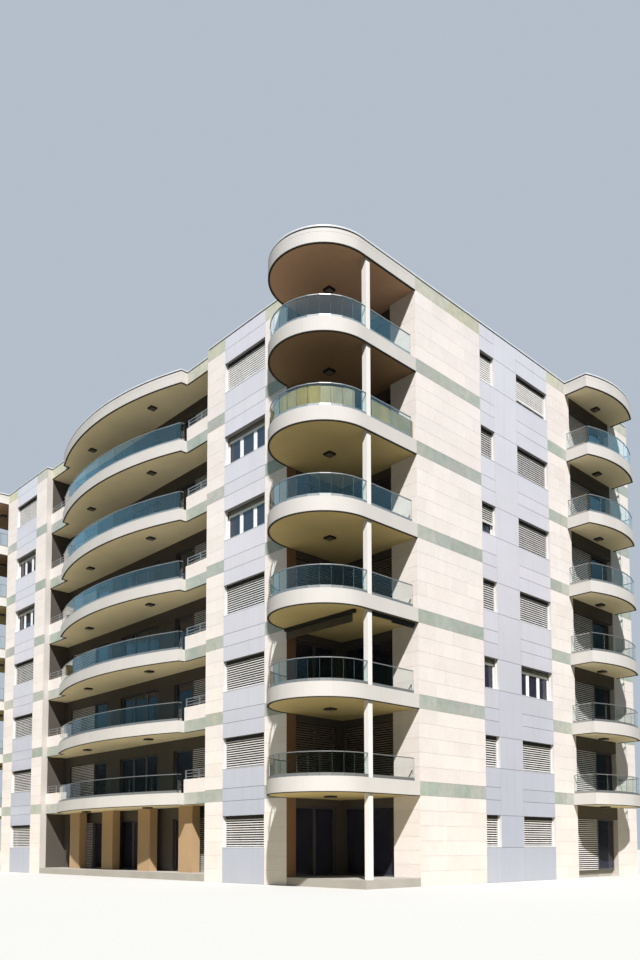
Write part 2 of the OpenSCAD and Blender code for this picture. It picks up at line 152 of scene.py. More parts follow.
def placed(nodes):
    """Each solid of some nodes: its facade, and where it lies along it, inwards and in height."""
    boxes = [(facade_of(node, box), box) for node in nodes for box in solids(node)]
    return [(facade, *facade.place(box)) for facade, box in boxes]


# Sizes and colours that a user would change

def length(name, value, about):
    return FloatProperty(name=name, description=about, default=value, min=0.0, unit="LENGTH")


def strength(name, value, about):
    return FloatProperty(name=name, description=about, default=value, min=0.0)


def colour(name, value, about):
    return FloatVectorProperty(name=name, description=about, default=value, size=3, subtype="COLOR",
                               min=0.0, max=1.0)


class CladdingSettings(bpy.types.PropertyGroup):
    slab_length: length("Slab length", 1.0, "Length of a stone slab")
    slab_height: length("Slab height", 0.52, "Height of a course of stone")
    slab_joint: length("Slab joint", 0.008, "Width of the joint between stone slabs")
    slab_depth: length("Slab depth", 0.006, "How far the stone slabs stand proud of their bedding")
    panel_joint: length("Panel joint", 0.016, "Width of the joint between wall panels")
    panel_depth: length("Panel depth", 0.008, "How far the wall panels stand proud of their bedding")
    felt_width: length("Felt width", 1.0, "Width of a strip of roof felt")
    felt_depth: length("Felt depth", 0.012, "Thickness of the roof felt")
    stone: colour("Stone", (0.83, 0.785, 0.765), "Colour of the cream stone")
    band: colour("Band", (0.405, 0.455, 0.43), "Colour of the grey-green stone bands")
    band_beige: colour("Band beige", (0.50, 0.48, 0.425), "Beige clouds in the stone of the bands")
    roof_band: colour("Roof band", (0.60, 0.585, 0.49), "Colour of the beige stone band under the roof")
    panel: colour("Panel", (0.65, 0.64, 0.705), "Colour of the wall panels")
    seed: IntProperty(name="Seed", description="Seed of the slabs' tones", default=7, min=0)


class OpeningSettings(bpy.types.PropertyGroup):
    stile: length("Stile", 0.095, "Width of the frame round a window's light")
    light_width: length("Light width", 0.87, "Usual width of a window's light")
    frame_depth: length("Frame depth", 0.07, "Depth of a window frame")
    bar: length("Bottom bar", 0.045, "Height of a shutter's bottom bar")
    guide: length("Guide", 0.033, "Width of the guides beside a shutter")
    guide_set: length("Guide set", 0.105, "Distance from the wall's face to the shutter guides")
    lip: length("Lip", 0.012, "How far linings and sills stand out of the wall")
    slat_thickness: length("Slat thickness", 0.014, "Thickness of a shutter slat")
    # The case and the slot are painted near black, as the shade that a window's head casts.
    case: length("Shutter case", 0.11, "Height of the dark case above a shutter's slats")
    slot_height: length("Slot height", 0.17, "Height of the dark slot that a shutter hangs from")
    reveal: length("Reveal", 0.012, "Thickness of the lining of a window's sides")
    sill: length("Sill", 0.022, "Height of a window's metal sill")
    door_width: length("Door width", 1.15, "Usual width of a glazed door")
    door_stile: length("Door stile", 0.07, "Width of a glazed door's frame")
    shutter: colour("Shutter", (0.76, 0.745, 0.73), "Colour of the shutter slats")
    frame: colour("Frame", (0.86, 0.86, 0.86), "Colour of the window frames")
    door_frame: colour("Door frame", (0.10, 0.10, 0.11), "Colour of the glazed doors' frames")


class BalconySettings(bpy.types.PropertyGroup):
    plate_length: length("Plate length", 0.95, "Length of a plate on a balcony's edge")
    plate_depth: length("Plate depth", 0.006, "How far the edge plates stand proud")
    plate_joint: length("Plate joint", 0.006, "Width of the joints between edge plates")
    cap_line: length("Cap line", 0.13, "Distance from the top of a canopy's edge to the joint below its cap")
    # The drip line is painted near black: partly a dark drip profile, partly painted shade of the shadow gap
    # at the soffit's edge.
    drip: length("Drip", 0.055, "Width of the dark drip line under a balcony's edge")
    soffit_depth: length("Soffit depth", 0.012, "Thickness of the plaster under a balcony")
    lamp: length("Lamp", 0.33, "Side of a ceiling lamp")
    lamp_h: length("Lamp height", 0.065, "Height of a ceiling lamp")
    reed_width: length("Reed width", 0.42, "Width of a reed panel")
    reed_height: length("Reed height", 0.70, "Height of a reed panel above the deck")
    reed_ragged: length("Reed ragged", 0.06, "How much the tops of the reed panels vary")
    reed_set: length("Reed set", 0.115, "Distance from the deck's edge in to the reed panels")
    reed_depth: length("Reed depth", 0.014, "Thickness of a reed panel")
    reed_end: length("Reed end", 0.08, "Distance from the end of the glass to the first reed panel")
    reed_gap: length("Reed gap", 0.36, "Gap between the reed panels and the column")
    awning_case: length("Awning case", 0.12, "Height and width of an awning's case")
    awning_end: length("Awning end", 0.33, "Distance from the corner to the end of the awning's case")
    awning_drop: length("Awning drop", 0.30, "How far the awning's cloth hangs below its case")
    cloth_t: length("Cloth", 0.002, "Thickness of the awning's cloth")
    cloth_wave: length("Cloth wave", 0.012, "Depth of the waves in the awning's cloth")
    corner_lamp_u: length("Corner lamp along", 2.13, "Distance from the corner to its lamp, along the front")
    corner_lamp_v: length("Corner lamp in", 0.45, "Distance from the front face in to the corner's lamp")
    side_lamp_out: length("Side lamp out", 0.36, "Distance from the end wall out to a side balcony's lamp")
    front_lamp_x: length("Front lamp", 2.84, "Distance from the building's middle to a bow's lamp")
    paving: colour("Paving", (0.17, 0.14, 0.11), "Colour of the balcony floors")
    render_white: colour("Render", (0.53, 0.515, 0.50), "Colour of the balcony edges and columns")
    soffit: colour("Soffit", (0.575, 0.465, 0.225), "Colour of the corner balconies' ceilings")
    # The ceiling above the reed screens is painted darker than the others, as painted shade of the screens.
    reed_shade_soffit: colour("Dim soffit", (0.25, 0.16, 0.085), "Colour of the ceiling above the reed screens")
    bow_soffit: colour("Bow soffit", (0.85, 0.75, 0.52), "Colour of the bowed balconies' ceilings")
    top_soffit: colour("Top soffit", (0.55, 0.34, 0.225), "Colour of the ceilings under the canopies")
    column: colour("Column", (0.73, 0.71, 0.70), "Colour of the corner columns")
    # The brown walls and headers are painted near black: partly their own brown, partly painted shade of the
    # deep loggias.
    brown: colour("Brown wall", (0.07, 0.06, 0.05), "Colour of the brown walls and headers in the loggias")
    jamb: colour("Brown jamb", (0.24, 0.13, 0.07), "Colour of the plates beside the corner doors")
    seal: length("Seal", 0.0065, "Half the width of the seal between two panes")
    pane_gap: length("Pane gap", 0.05, "Edges of glass closer than this belong to one joint")
    glass: colour("Balcony glass", (0.915, 0.972, 0.958), "Tint of the balcony glass")
    rail: colour("Rail", (0.33, 0.325, 0.32), "Colour of the rails and channels")


class StageSettings(bpy.types.PropertyGroup):
    sun_strength: strength("Key light", 7.2, "Strength of the key light")
    sun_softness: FloatProperty(name="Softness", description="Angular size of the key light",
                                default=math.radians(1.3), subtype="ANGLE")
    sky_strength: strength("Fill light", 0.31, "Strength of the light all round")
    sun_color: colour("Key colour", (1.0, 0.965, 0.925), "Colour of the key light")
    sky: colour("Fill colour", (0.76, 0.86, 1.0), "Colour of the fill light")
    low_fill: colour("Low fill", (0.03, 0.03, 0.03), "Colour of the fill light from the horizon")
    gloss: colour("Reflected sky", (0.31, 0.68, 0.95), "Colour that glass and metal reflect from high up")
    gloss_strength: strength("Reflected light", 1.3, "Strength of the reflected sky")
    low_gloss: colour("Reflected horizon", (0.015, 0.03, 0.022), "Colour that they reflect from low down")
    backdrop: colour("Backdrop", (0.46, 0.52, 0.60), "Colour of the backdrop behind the building")
    ground: colour("Floor", (0.50, 0.50, 0.49), "Colour of the studio floor")
    bounce: colour("Floor bounce", (0.44, 0.405, 0.295), "Colour of the light that the near floor throws up")
    far_bounce: colour("Far floor bounce", (0.05, 0.05, 0.035), "Colour of the light from the far floor")
    floor_radius: length("Floor radius", 260.0, "Radius of the studio floor")


SETTINGS = {
    "block_cladding": CladdingSettings,
    "block_openings": OpeningSettings,
    "block_balconies": BalconySettings,
    "block_stage": StageSettings,
}


# Node trees

class Nodes:
    """Short calls that add and join the nodes of one tree."""

    def __init__(self, tree):
        self.tree = tree

    def add(self, kind, inputs=(), **settings):
        """Adds a node. A value given for an input is linked if it is a socket, or else set."""
        node = self.tree.nodes.new(kind)
        for name, value in settings.items():
            setattr(node, name, value)
        for name, value in dict(inputs).items():
            self.feed(node.inputs[name], value)
        return node

    def feed(self, target, value):
        if isinstance(value, bpy.types.NodeSocket):
            self.tree.links.new(value, target)
        else:
            target.default_value = value

    def math(self, operation, first, second=0.0):
        return self.add("ShaderNodeMath", {0: first, 1: second}, operation=operation).outputs[0]

    def mix(self, factor, first, second, blend="MIX"):
        node = self.add("ShaderNodeMix", {0: factor, MIX_A: first, MIX_B: second}, data_type="RGBA",
                        blend_type=blend)
        return node.outputs[MIX_RESULT]

    def multiply(self, first, second):
        return self.mix(1.0, first, second, "MULTIPLY")

    def spread(self, value, low, high, start=0.0, end=1.0):
        """Maps a value from the range low to high onto start to end, and keeps it there."""
        return self.add("ShaderNodeMapRange", {"Value": value, "From Min": low, "From Max": high,
                                               "To Min": start, "To Max": end}).outputs[0]


def new_group(name, kind, inputs, outputs):
    """A node group with named sockets, and its input and output nodes."""
    tree = bpy.data.node_groups.new(name, kind)
    for label, socket_type, value in inputs:
        socket = tree.interface.new_socket(label, in_out="INPUT", socket_type=socket_type)
        if value is not None:
            socket.default_value = value
    for label, socket_type in outputs:
        tree.interface.new_socket(label, in_out="OUTPUT", socket_type=socket_type)
    nodes = Nodes(tree)
    return nodes, nodes.add("NodeGroupInput").outputs, nodes.add("NodeGroupOutput").inputs


VECTOR = "NodeSocketVector"
VALUE = "NodeSocketFloat"
COLOUR = "NodeSocketColor"
GREY = (0.5, 0.5, 0.5, 1.0)

# Scale of the coarse grain as a share of the fine one's
COARSE_SHARE = 0.12

# Tones run from 0 to 1. How fast a slab's warmth changes with its tone
MIDDLE_TONE = 0.5
TONE_FLICKER = 40.0


@cache
def cloudy_tint():
    """Two colours in soft clouds."""
    nodes, given, result = new_group(
        "Cloudy Tint", "ShaderNodeTree",
        [("Vector", VECTOR, None), ("Light", COLOUR, GREY), ("Dark", COLOUR, GREY), ("Scale", VALUE, 1.0),
         ("Amount", VALUE, 0.5)],
        [("Color", COLOUR)])
    clouds = nodes.add("ShaderNodeTexNoise", {"Vector": given["Vector"], "Scale": given["Scale"],
                                              "Detail": 6.0, "Roughness": 0.6})
    mask = nodes.math("MULTIPLY", nodes.spread(clouds.outputs["Fac"], low=0.35, high=0.68), given["Amount"])
    nodes.feed(result["Color"], nodes.mix(mask, given["Light"], given["Dark"]))
    return nodes.tree


@cache
def rain_streaks():
    """A mask of vertical streaks where rain has run down."""
    nodes, given, result = new_group(
        "Rain Streaks", "ShaderNodeTree",
        [("Vector", VECTOR, None), ("Across", VALUE, 6.0), ("Down", VALUE, 0.35), ("Amount", VALUE, 0.3)],
        [("Mask", VALUE)])
    scale = nodes.add("ShaderNodeCombineXYZ", {"X": given["Across"], "Y": given["Across"],
                                               "Z": given["Down"]})
    stretched = nodes.add("ShaderNodeVectorMath", {0: given["Vector"], 1: scale.outputs[0]},
                          operation="MULTIPLY")
    streaks = nodes.add("ShaderNodeTexNoise", {"Vector": stretched.outputs[0], "Scale": 1.0, "Detail": 5.0,
                                               "Roughness": 0.65})
    mask = nodes.spread(streaks.outputs["Fac"], low=0.5, high=0.78)
    nodes.feed(result["Mask"], nodes.math("MULTIPLY", mask, given["Amount"]))
    return nodes.tree


@cache
def fine_grain():
    """Height of a fine grain, with a coarser one under it."""
    nodes, given, result = new_group(
        "Fine Grain", "ShaderNodeTree",
        [("Vector", VECTOR, None), ("Scale", VALUE, 60.0)],
        [("Height", VALUE)])
    fine = nodes.add("ShaderNodeTexNoise", {"Vector": given["Vector"], "Scale": given["Scale"], "Detail": 8.0,
                                            "Roughness": 0.7})
    coarse_scale = nodes.math("MULTIPLY", given["Scale"], COARSE_SHARE)
    coarse = nodes.add("ShaderNodeTexNoise", {"Vector": given["Vector"], "Scale": coarse_scale,
                                              "Detail": 3.0})
    height = nodes.math("ADD", fine.outputs["Fac"], coarse.outputs["Fac"])
    nodes.feed(result["Height"], height)
    return nodes.tree


@cache
def slab_tone():
    """A colour varied from slab to slab by the tone attribute."""
    nodes, given, result = new_group(
        "Slab Tone", "ShaderNodeTree",
        [("Color", COLOUR, GREY), ("Lightness", VALUE, 0.08), ("Warmth", VALUE, 0.1)],
        [("Color", COLOUR)])
    tone = nodes.add("ShaderNodeAttribute", attribute_name="tone")
    centred = nodes.math("SUBTRACT", tone.outputs["Fac"], MIDDLE_TONE)
    value = nodes.math("ADD", nodes.math("MULTIPLY", centred, given["Lightness"]), 1.0)
    flicker = nodes.math("SINE", nodes.math("MULTIPLY", tone.outputs["Fac"], TONE_FLICKER))
    saturation = nodes.math("ADD", nodes.math("MULTIPLY", flicker, given["Warmth"]), 1.0)
    varied = nodes.add("ShaderNodeHueSaturation", {"Color": given["Color"], "Value": value,
                                                   "Saturation": saturation})
    nodes.feed(result["Color"], varied.outputs["Color"])
    return nodes.tree


# Finishes

WHITE = (1.0, 1.0, 1.0, 1.0)

# How much of its colour an end wall keeps, as painted shade that evens out the key light between the end
# walls and the front, and how much the panels and the stone keep above the ground
END_WALL_SHADE = (0.89, 0.89, 0.895)
LOW_PANEL_TONE = (0.67, 0.73, 0.79)
LOW_STONE_TONE = (0.93, 0.92, 0.92)

# Heights between which the walls turn from darker to their own colour
DARKENING_RISE = (2.0, 13.0)

# How far a face looks sideways before it is an end wall, and how far up before it is a floor
END_WALL_TURN = (0.4, 0.9)
FLOOR_TURN = 0.5

# Colour of the canopies' upper faces, and height of the light metal cap on the roof coping
CANOPY_TOP = (0.40, 0.38, 0.35)
COPING_CAP = 0.05

# Scale of the reeds' canes along each axis
CANE_SCALE = (70.0, 70.0, 1.4)


def darker(color, light):
    return [channel * light for channel in color]


def rgba(color, light=1.0):
    return (*darker(color, light), 1.0)


class Look(Nodes):
    """A material being made: its Principled shader, and calls that place the shared effects."""

    def __init__(self, name, roughness, metallic=0.0):
        self.material = bpy.data.materials.new(name)
        self.material.use_nodes = True
        super().__init__(self.material.node_tree)
        self.tree.nodes.clear()
        self.shader = self.add("ShaderNodeBsdfPrincipled", {"Roughness": roughness, "Metallic": metallic})
        self.add("ShaderNodeOutputMaterial", {"Surface": self.shader.outputs["BSDF"]})
        self.place = self.add("ShaderNodeTexCoord").outputs["Object"]

    def effect(self, group, inputs):
        return self.add("ShaderNodeGroup", inputs, node_tree=group()).outputs[0]

    def clouds(self, light, dark, scale, amount):
        return self.effect(cloudy_tint, {"Vector": self.place, "Light": light, "Dark": dark,
                                         "Scale": scale, "Amount": amount})

    def toned(self, color, lightness, warmth):
        """The colour, a little different on each slab."""
        return self.effect(slab_tone, {"Color": color, "Lightness": lightness, "Warmth": warmth})

    def streaked(self, color, stain, amount, across=6.0, down=0.35):
        """The colour with rain streaks of a stain over it."""
        mask = self.effect(rain_streaks, {"Vector": self.place, "Across": across, "Down": down,
                                          "Amount": amount})
        return self.mix(mask, color, stain)

    def relief(self, height, depth, strength=1.0):
        bump = self.add("ShaderNodeBump", {"Height": height, "Strength": strength, "Distance": depth})
        self.feed(self.shader.inputs["Normal"], bump.outputs["Normal"])

    def grain(self, scale, depth):
        """Gives the surface a fine grain, depth metres high."""
        self.relief(self.effect(fine_grain, {"Vector": self.place, "Scale": scale}), depth)

    def axis(self, vector, name):
        return self.add("ShaderNodeSeparateXYZ", {"Vector": vector}).outputs[name]

    def normal(self):
        return self.add("ShaderNodeNewGeometry").outputs["Normal"]

    def height_mask(self, level):
        """1 above a height and 0 below it."""
        return self.math("GREATER_THAN", self.axis(self.place, "Z"), level)

    def facing_up(self):
        """1 on floors and other faces that look up."""
        return self.math("GREATER_THAN", self.axis(self.normal(), "Z"), FLOOR_TURN)

    def with_end_wall_shade(self, color):
        """The colour, a little darker on the end walls: painted shade that evens out the key light, which
        strikes them more fully than the front.
        """
        mask = self.spread(self.math("ABSOLUTE", self.axis(self.normal(), "X")), *END_WALL_TURN)
        return self.multiply(color, self.mix(mask, WHITE, rgba(END_WALL_SHADE)))

    def darkened_low(self, color, low_tone):
        """The colour, darker on the lower storeys."""
        mask = self.spread(self.axis(self.place, "Z"), *DARKENING_RISE)
        return self.multiply(color, self.mix(mask, rgba(low_tone), WHITE))

    def paint(self, color):
        self.feed(self.shader.inputs["Base Color"], color)
        return self.material

    def shade(self, sockets):
        """Sets plain values of the Principled shader by their sockets' names."""
        for name, value in sockets.items():
            self.shader.inputs[name].default_value = value


def stone_look(name, color):
    look = Look(name, roughness=0.62)
    clouds = look.clouds(rgba(color), rgba(color, light=0.88), scale=1.3, amount=0.5)
    veins = look.clouds(WHITE, rgba((0.93, 0.90, 0.86)), scale=9.0, amount=0.55)
    toned = look.toned(look.multiply(clouds, veins), lightness=0.07, warmth=0.12)
    look.grain(scale=70.0, depth=0.0006)
    streaked = look.streaked(toned, rgba(color, light=0.62), amount=0.10)
    return look.paint(look.darkened_low(look.with_end_wall_shade(streaked), LOW_STONE_TONE))


def band_look(name, color, beige, roof_color):
    """Grey-green stone with beige clouds, and beige stone above the top ceiling."""
    look = Look(name, roughness=0.55)
    clouds = look.clouds(rgba(color), rgba(beige), scale=0.55, amount=0.9)
    base = look.mix(look.height_mask(CEILINGS[-1] - WELD), clouds, rgba(roof_color))
    veins = look.clouds(WHITE, rgba((0.74, 0.80, 0.78)), scale=3.2, amount=0.75)
    flecks = look.clouds(WHITE, rgba((0.84, 0.82, 0.76)), scale=22.0, amount=0.6)
    toned = look.toned(look.multiply(look.multiply(base, veins), flecks), lightness=0.16, warmth=0.35)
    look.grain(scale=45.0, depth=0.0008)
    return look.paint(look.with_end_wall_shade(look.streaked(toned, rgba(color, light=0.5), amount=0.12)))


def panel_look(name, color):
    look = Look(name, roughness=0.34)
    clouds = look.clouds(rgba(color), rgba(color, light=0.93), scale=0.8, amount=0.6)
    toned = look.toned(clouds, lightness=0.05, warmth=0.12)
    look.grain(scale=160.0, depth=0.00015)
    streaked = look.streaked(toned, rgba(color, light=0.66), amount=0.22, across=4.0, down=0.25)
    return look.paint(look.darkened_low(look.with_end_wall_shade(streaked), LOW_PANEL_TONE))


def render_look(name, color, paving):
    """White render on the sides of a balcony, and paving on what looks up."""
    look = Look(name, roughness=0.72)
    clouds = look.clouds(rgba(color), rgba(color, light=0.9), scale=1.1, amount=0.45)
    sides = look.streaked(clouds, rgba((0.52, 0.50, 0.50)), amount=0.3, across=5.0, down=0.5)
    tiles = look.add("ShaderNodeTexBrick", {"Vector": look.place, "Color1": rgba(paving),
                                            "Color2": rgba(paving, light=0.86),
                                            "Mortar": rgba(paving, light=0.5), "Scale": 1.0,
                                            "Mortar Size": 0.008, "Brick Width": 0.4, "Row Height": 0.4})
    look.grain(scale=120.0, depth=0.0005)
    floor = look.mix(look.height_mask(WALL_TOP - BAND_H / 2), tiles.outputs["Color"], rgba(CANOPY_TOP))
    return look.paint(look.toned(look.mix(look.facing_up(), sides, floor), lightness=0.05, warmth=0.1))


def plaster_look(name, color, shade=0.86, roughness=0.8):
    look = Look(name, roughness)
    clouds = look.clouds(rgba(color), rgba(color, shade), scale=0.7, amount=0.7)
    look.grain(scale=90.0, depth=0.0007)
    return look.paint(look.streaked(clouds, rgba(color, light=0.7), amount=0.12))


def soffit_look(name, colors):
    """Ceilings in one colour, with others for the last but one, painted darker as painted shade of the reed
    screens, and for the canopy's.
    """
    look = Look(name, roughness=0.8)
    base = rgba(colors[0])
    for level, color in zip(CEILINGS[-2:], colors[1:]):
        base = look.mix(look.height_mask(level - BAND_H / 2), base, rgba(color))
    clouds = look.clouds(WHITE, rgba((0.84, 0.84, 0.84)), scale=0.6, amount=0.7)
    look.grain(scale=90.0, depth=0.0007)
    return look.paint(look.multiply(base, clouds))


def metal_look(name, color, roughness=0.38, metallic=0.6):
    look = Look(name, roughness, metallic)
    clouds = look.clouds(rgba(color), rgba(color, light=0.84), scale=2.5, amount=0.6)
    look.grain(scale=220.0, depth=0.0001)
    return look.paint(look.streaked(clouds, rgba(color, light=0.6), amount=0.2, across=10.0, down=0.6))


def coping_look(name, cap, gap):
    """A light metal cap above a recessed joint painted near black: partly the joint's own dark colour, partly
    painted shade of the recess.
    """
    look = Look(name, roughness=0.42)
    joint_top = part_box("roof_coping")[1].z - COPING_CAP - WELD
    base = look.mix(look.height_mask(joint_top), rgba(gap), rgba(cap))
    dirt = look.clouds(WHITE, rgba((0.8, 0.8, 0.8)), scale=1.8, amount=0.6)
    look.grain(scale=150.0, depth=0.0002)
    return look.paint(look.multiply(base, dirt))


def slat_look(name, color, roughness=0.42):
    look = Look(name, roughness)
    clouds = look.clouds(rgba(color), rgba(color, light=0.8), scale=1.6, amount=0.6)
    toned = look.toned(clouds, lightness=0.12, warmth=0.1)
    look.grain(scale=240.0, depth=0.0001)
    return look.paint(look.streaked(toned, rgba(color, light=0.55), amount=0.25, across=9.0, down=0.5))


def clear_glass_look(name, tint):
    """Clear tinted glass, thin enough that light and shade pass straight through it."""
    look = Look(name, roughness=0.02)
    look.shade({"Transmission Weight": 1.0, "IOR": 1.45})
    look.grain(scale=0.4, depth=0.0002)
    path = look.add("ShaderNodeLightPath").outputs
    open_air = look.add("ShaderNodeBsdfTransparent", {"Color": rgba(tint)}).outputs["BSDF"]
    surface = look.shader.outputs["BSDF"]
    for ray in ("Is Diffuse Ray", "Is Shadow Ray"):
        surface = look.add("ShaderNodeMixShader", {0: path[ray], 1: surface, 2: open_air}).outputs[0]
    look.feed(look.tree.nodes["Material Output"].inputs["Surface"], surface)
    return look.paint(look.clouds(rgba(tint), rgba(tint, light=0.94), scale=0.5, amount=0.8))


def glass_look(name, tint, alpha, dirt, roughness):
    """Nearly opaque dark glass whose colour paints the shade of the room behind it, and a little dust that
    dulls it.
    """
    look = Look(name, roughness)
    look.shade({"Alpha": alpha, "IOR": 1.5})
    dust = look.clouds(rgba(tint), rgba((0.45, 0.48, 0.46)), scale=1.7, amount=dirt)
    smears = look.effect(fine_grain, {"Vector": look.place, "Scale": 3.0})
    gloss = look.spread(smears, low=0.6, high=1.4, start=roughness, end=roughness + 0.08)
    look.feed(look.shader.inputs["Roughness"], gloss)
    return look.paint(dust)


def concrete_look(name, color):
    look = Look(name, roughness=0.85)
    clouds = look.clouds(rgba(color), rgba(color, light=0.75), scale=0.6, amount=0.8)
    pebbles = look.add("ShaderNodeTexVoronoi", {"Vector": look.place, "Scale": 28.0})
    specks = look.spread(pebbles.outputs["Distance"], low=0.1, high=0.5, start=0.0, end=0.35)
    look.grain(scale=60.0, depth=0.002)
    return look.paint(look.mix(specks, clouds, rgba(color, light=0.55)))


def reed_look(name, color):
    """Thin upright canes side by side, with the grooves between them painted darker as their shade."""
    look = Look(name, roughness=0.7)
    scale = look.add("ShaderNodeVectorMath", {0: look.place, 1: CANE_SCALE}, operation="MULTIPLY")
    canes = look.add("ShaderNodeTexNoise", {"Vector": scale.outputs[0], "Scale": 1.0, "Detail": 3.0})
    ridges = look.spread(canes.outputs["Fac"], low=0.35, high=0.65)
    look.relief(ridges, depth=0.004)
    clouds = look.clouds(rgba(color), rgba(color, light=0.72), scale=2.2, amount=0.7)
    toned = look.toned(clouds, lightness=0.35, warmth=0.4)
    return look.paint(look.mix(ridges, look.multiply(toned, rgba((0.5, 0.45, 0.36))), toned))


def cloth_look(name, color):
    """Woven awning cloth with a fine weave."""
    look = Look(name, roughness=0.85)
    weave = look.add("ShaderNodeTexWave", {"Vector": look.place, "Scale": 160.0, "Distortion": 0.4})
    look.relief(weave.outputs["Fac"], depth=0.0006, strength=0.6)
    look.shade({"Sheen Weight": 0.2})
    return look.paint(look.clouds(rgba(color), rgba(color, light=0.8), scale=3.0, amount=0.6))


@cache
def finish_of(name):
    """A finish of the building, made when it is first asked for."""
    clad = bpy.context.scene.block_cladding
    hole = bpy.context.scene.block_openings
    deck = bpy.context.scene.block_balconies
    makers = {
        "cream_stone": lambda: stone_look("Cream stone", clad.stone),
        "stone_bedding": lambda: stone_look("Stone bedding", darker(clad.stone, 0.72)),
        "green_stone": lambda: band_look("Grey-green stone", clad.band, clad.band_beige, clad.roof_band),
        "panel": lambda: panel_look("Wall panel", clad.panel),
        "panel_bedding": lambda: panel_look("Panel bedding", darker(clad.panel, 0.42)),
        "white_render": lambda: render_look("White render", deck.render_white, deck.paving),
        "soffit": lambda: soffit_look("Ceiling plaster", (deck.soffit, deck.reed_shade_soffit, deck.top_soffit)),
        "bow_soffit": lambda: plaster_look("Bow ceiling plaster", deck.bow_soffit),
        "column": lambda: plaster_look("Column render", deck.column, shade=0.94, roughness=0.7),
        "brown_wall": lambda: plaster_look("Brown render", deck.brown),
        "brown_jamb": lambda: plaster_look("Brown jamb plates", deck.jamb),
        "warm_stone": lambda: plaster_look("Pillar render", (0.40, 0.27, 0.15)),
        "coping": lambda: coping_look("Roof coping", cap=(0.62, 0.65, 0.70), gap=(0.02, 0.02, 0.022)),
        "concrete": lambda: concrete_look("Concrete and gravel", (0.42, 0.40, 0.37)),
        "rail": lambda: metal_look("Rail metal", deck.rail),
        "sill_metal": lambda: metal_look("Sill metal", (0.55, 0.56, 0.58), roughness=0.4, metallic=0.2),
        "rolled_slats": lambda: slat_look("Rolled slats", (0.34, 0.33, 0.25)),
        "dark_metal": lambda: metal_look("Dark metal", (0.035, 0.035, 0.04), roughness=0.45),
        "slats": lambda: slat_look("Shutter slats", hole.shutter),
        "frame": lambda: plaster_look("Window frame paint", hole.frame, shade=0.94, roughness=0.4),
        # The linings are painted grey, darker than the white frames, as painted shade of the reveals.
        "lining": lambda: plaster_look("Lining paint", (0.60, 0.60, 0.61), shade=0.94, roughness=0.5),
        "door_frame": lambda: metal_look("Door frame metal", hole.door_frame, roughness=0.4, metallic=0.3),
        "window_glass": lambda: glass_look("Window glass", (0.022, 0.022, 0.042), alpha=0.93, dirt=0.03,
                                           roughness=0.04),
        "balcony_glass": lambda: clear_glass_look("Balcony glass", deck.glass),
        "blinds": lambda: slat_look("Blind slats", (0.20, 0.17, 0.13)),
        "reed": lambda: reed_look("Reed screen", (0.32, 0.25, 0.10)),
        "awning": lambda: cloth_look("Awning cloth", (0.06, 0.05, 0.035)),
        # Near black, partly as painted shade: of the shadow gaps under the balconies, and of the window heads
        # on the shutter cases.
        "drip": lambda: plaster_look("Drip line", (0.02, 0.017, 0.014)),
        "felt": lambda: slat_look("Roof felt", (0.33, 0.32, 0.30), roughness=0.9),
        "seal": lambda: plaster_look("Seal", (0.035, 0.05, 0.05), shade=0.9, roughness=0.5),
        "lamp_glass": lambda: glass_look("Lamp glass", (0.15, 0.12, 0.10), alpha=0.9, dirt=0.2,
                                         roughness=0.3),
    }
    return makers[name]()


# Shapes

def wrap_up(name, mesh, finish):
    """Links a mesh of closed shapes as a finished piece that rides on the building."""
    shell = bmesh.new()
    shell.from_mesh(mesh)
    bmesh.ops.recalc_face_normals(shell, faces=shell.faces)
    shell.to_mesh(mesh)
    shell.free()
    mesh.name = name
    mesh.materials.clear()
    mesh.materials.append(finish_of(finish))
    piece = bpy.data.objects.new(name, mesh)
    bpy.context.scene.collection.objects.link(piece)
    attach(piece, BODY)
    return piece


# Faces of a block, by its corners in the order of X, then Y, then Z
BLOCK_FACES = ((0, 2, 3, 1), (4, 5, 7, 6), (0, 1, 5, 4), (2, 6, 7, 3), (0, 4, 6, 2), (1, 3, 7, 5))


class Shapes:
    """Gathers blocks, ribbons and plates, and makes one mesh of them."""

    def __init__(self):
        self.points = []
        self.faces = []
        self.tones = []

    def add(self, points, faces, tone=MIDDLE_TONE):
        first = len(self.points)
        self.points += [tuple(point) for point in points]
        self.faces += [[first + i for i in face] for face in faces]
        self.tones += [tone] * len(faces)

    def block(self, one, other, tone=MIDDLE_TONE):
        """A block between two opposite corners."""
        spans = [sorted(pair) for pair in zip(one, other)]
        corners = [(x, y, z) for z in spans[2] for y in spans[1] for x in spans[0]]
        self.add(corners, BLOCK_FACES, tone)

    def board(self, facade, along, depth, height, tone=MIDDLE_TONE):
        """A block on a facade, given by its start and end in each direction."""
        self.block(facade.at(along[0], depth[0], height[0]), facade.at(along[1], depth[1], height[1]), tone)

    def prism(self, outline, low, high, tone=MIDDLE_TONE):
        """An outline in plan, raised from one height to another."""
        count = len(outline)
        points = [(x, y, low) for x, y in outline] + [(x, y, high) for x, y in outline]
        sides = [(i, (i + 1) % count, count + (i + 1) % count, count + i) for i in range(count)]
        self.add(points, sides + [tuple(reversed(range(count))), tuple(range(count, 2 * count))], tone)

    def ribbon(self, path, inner, outer, low, high, tone=MIDDLE_TONE):
        """A strip along a path in plan, between two distances out of it and two heights."""
        near = offset(path, inner)
        far = offset(path, outer)
        self.prism(near + list(reversed(far)), low, high, tone)

    def mesh(self, name):
        mesh = bpy.data.meshes.new(name)
        mesh.from_pydata(self.points, [], self.faces)
        tones = mesh.attributes.new("tone", "FLOAT", "FACE")
        tones.data.foreach_set("value", self.tones)
        return mesh

    def piece(self, name, finish, slot):
        return wrap_up(name, self.mesh(name), finish)


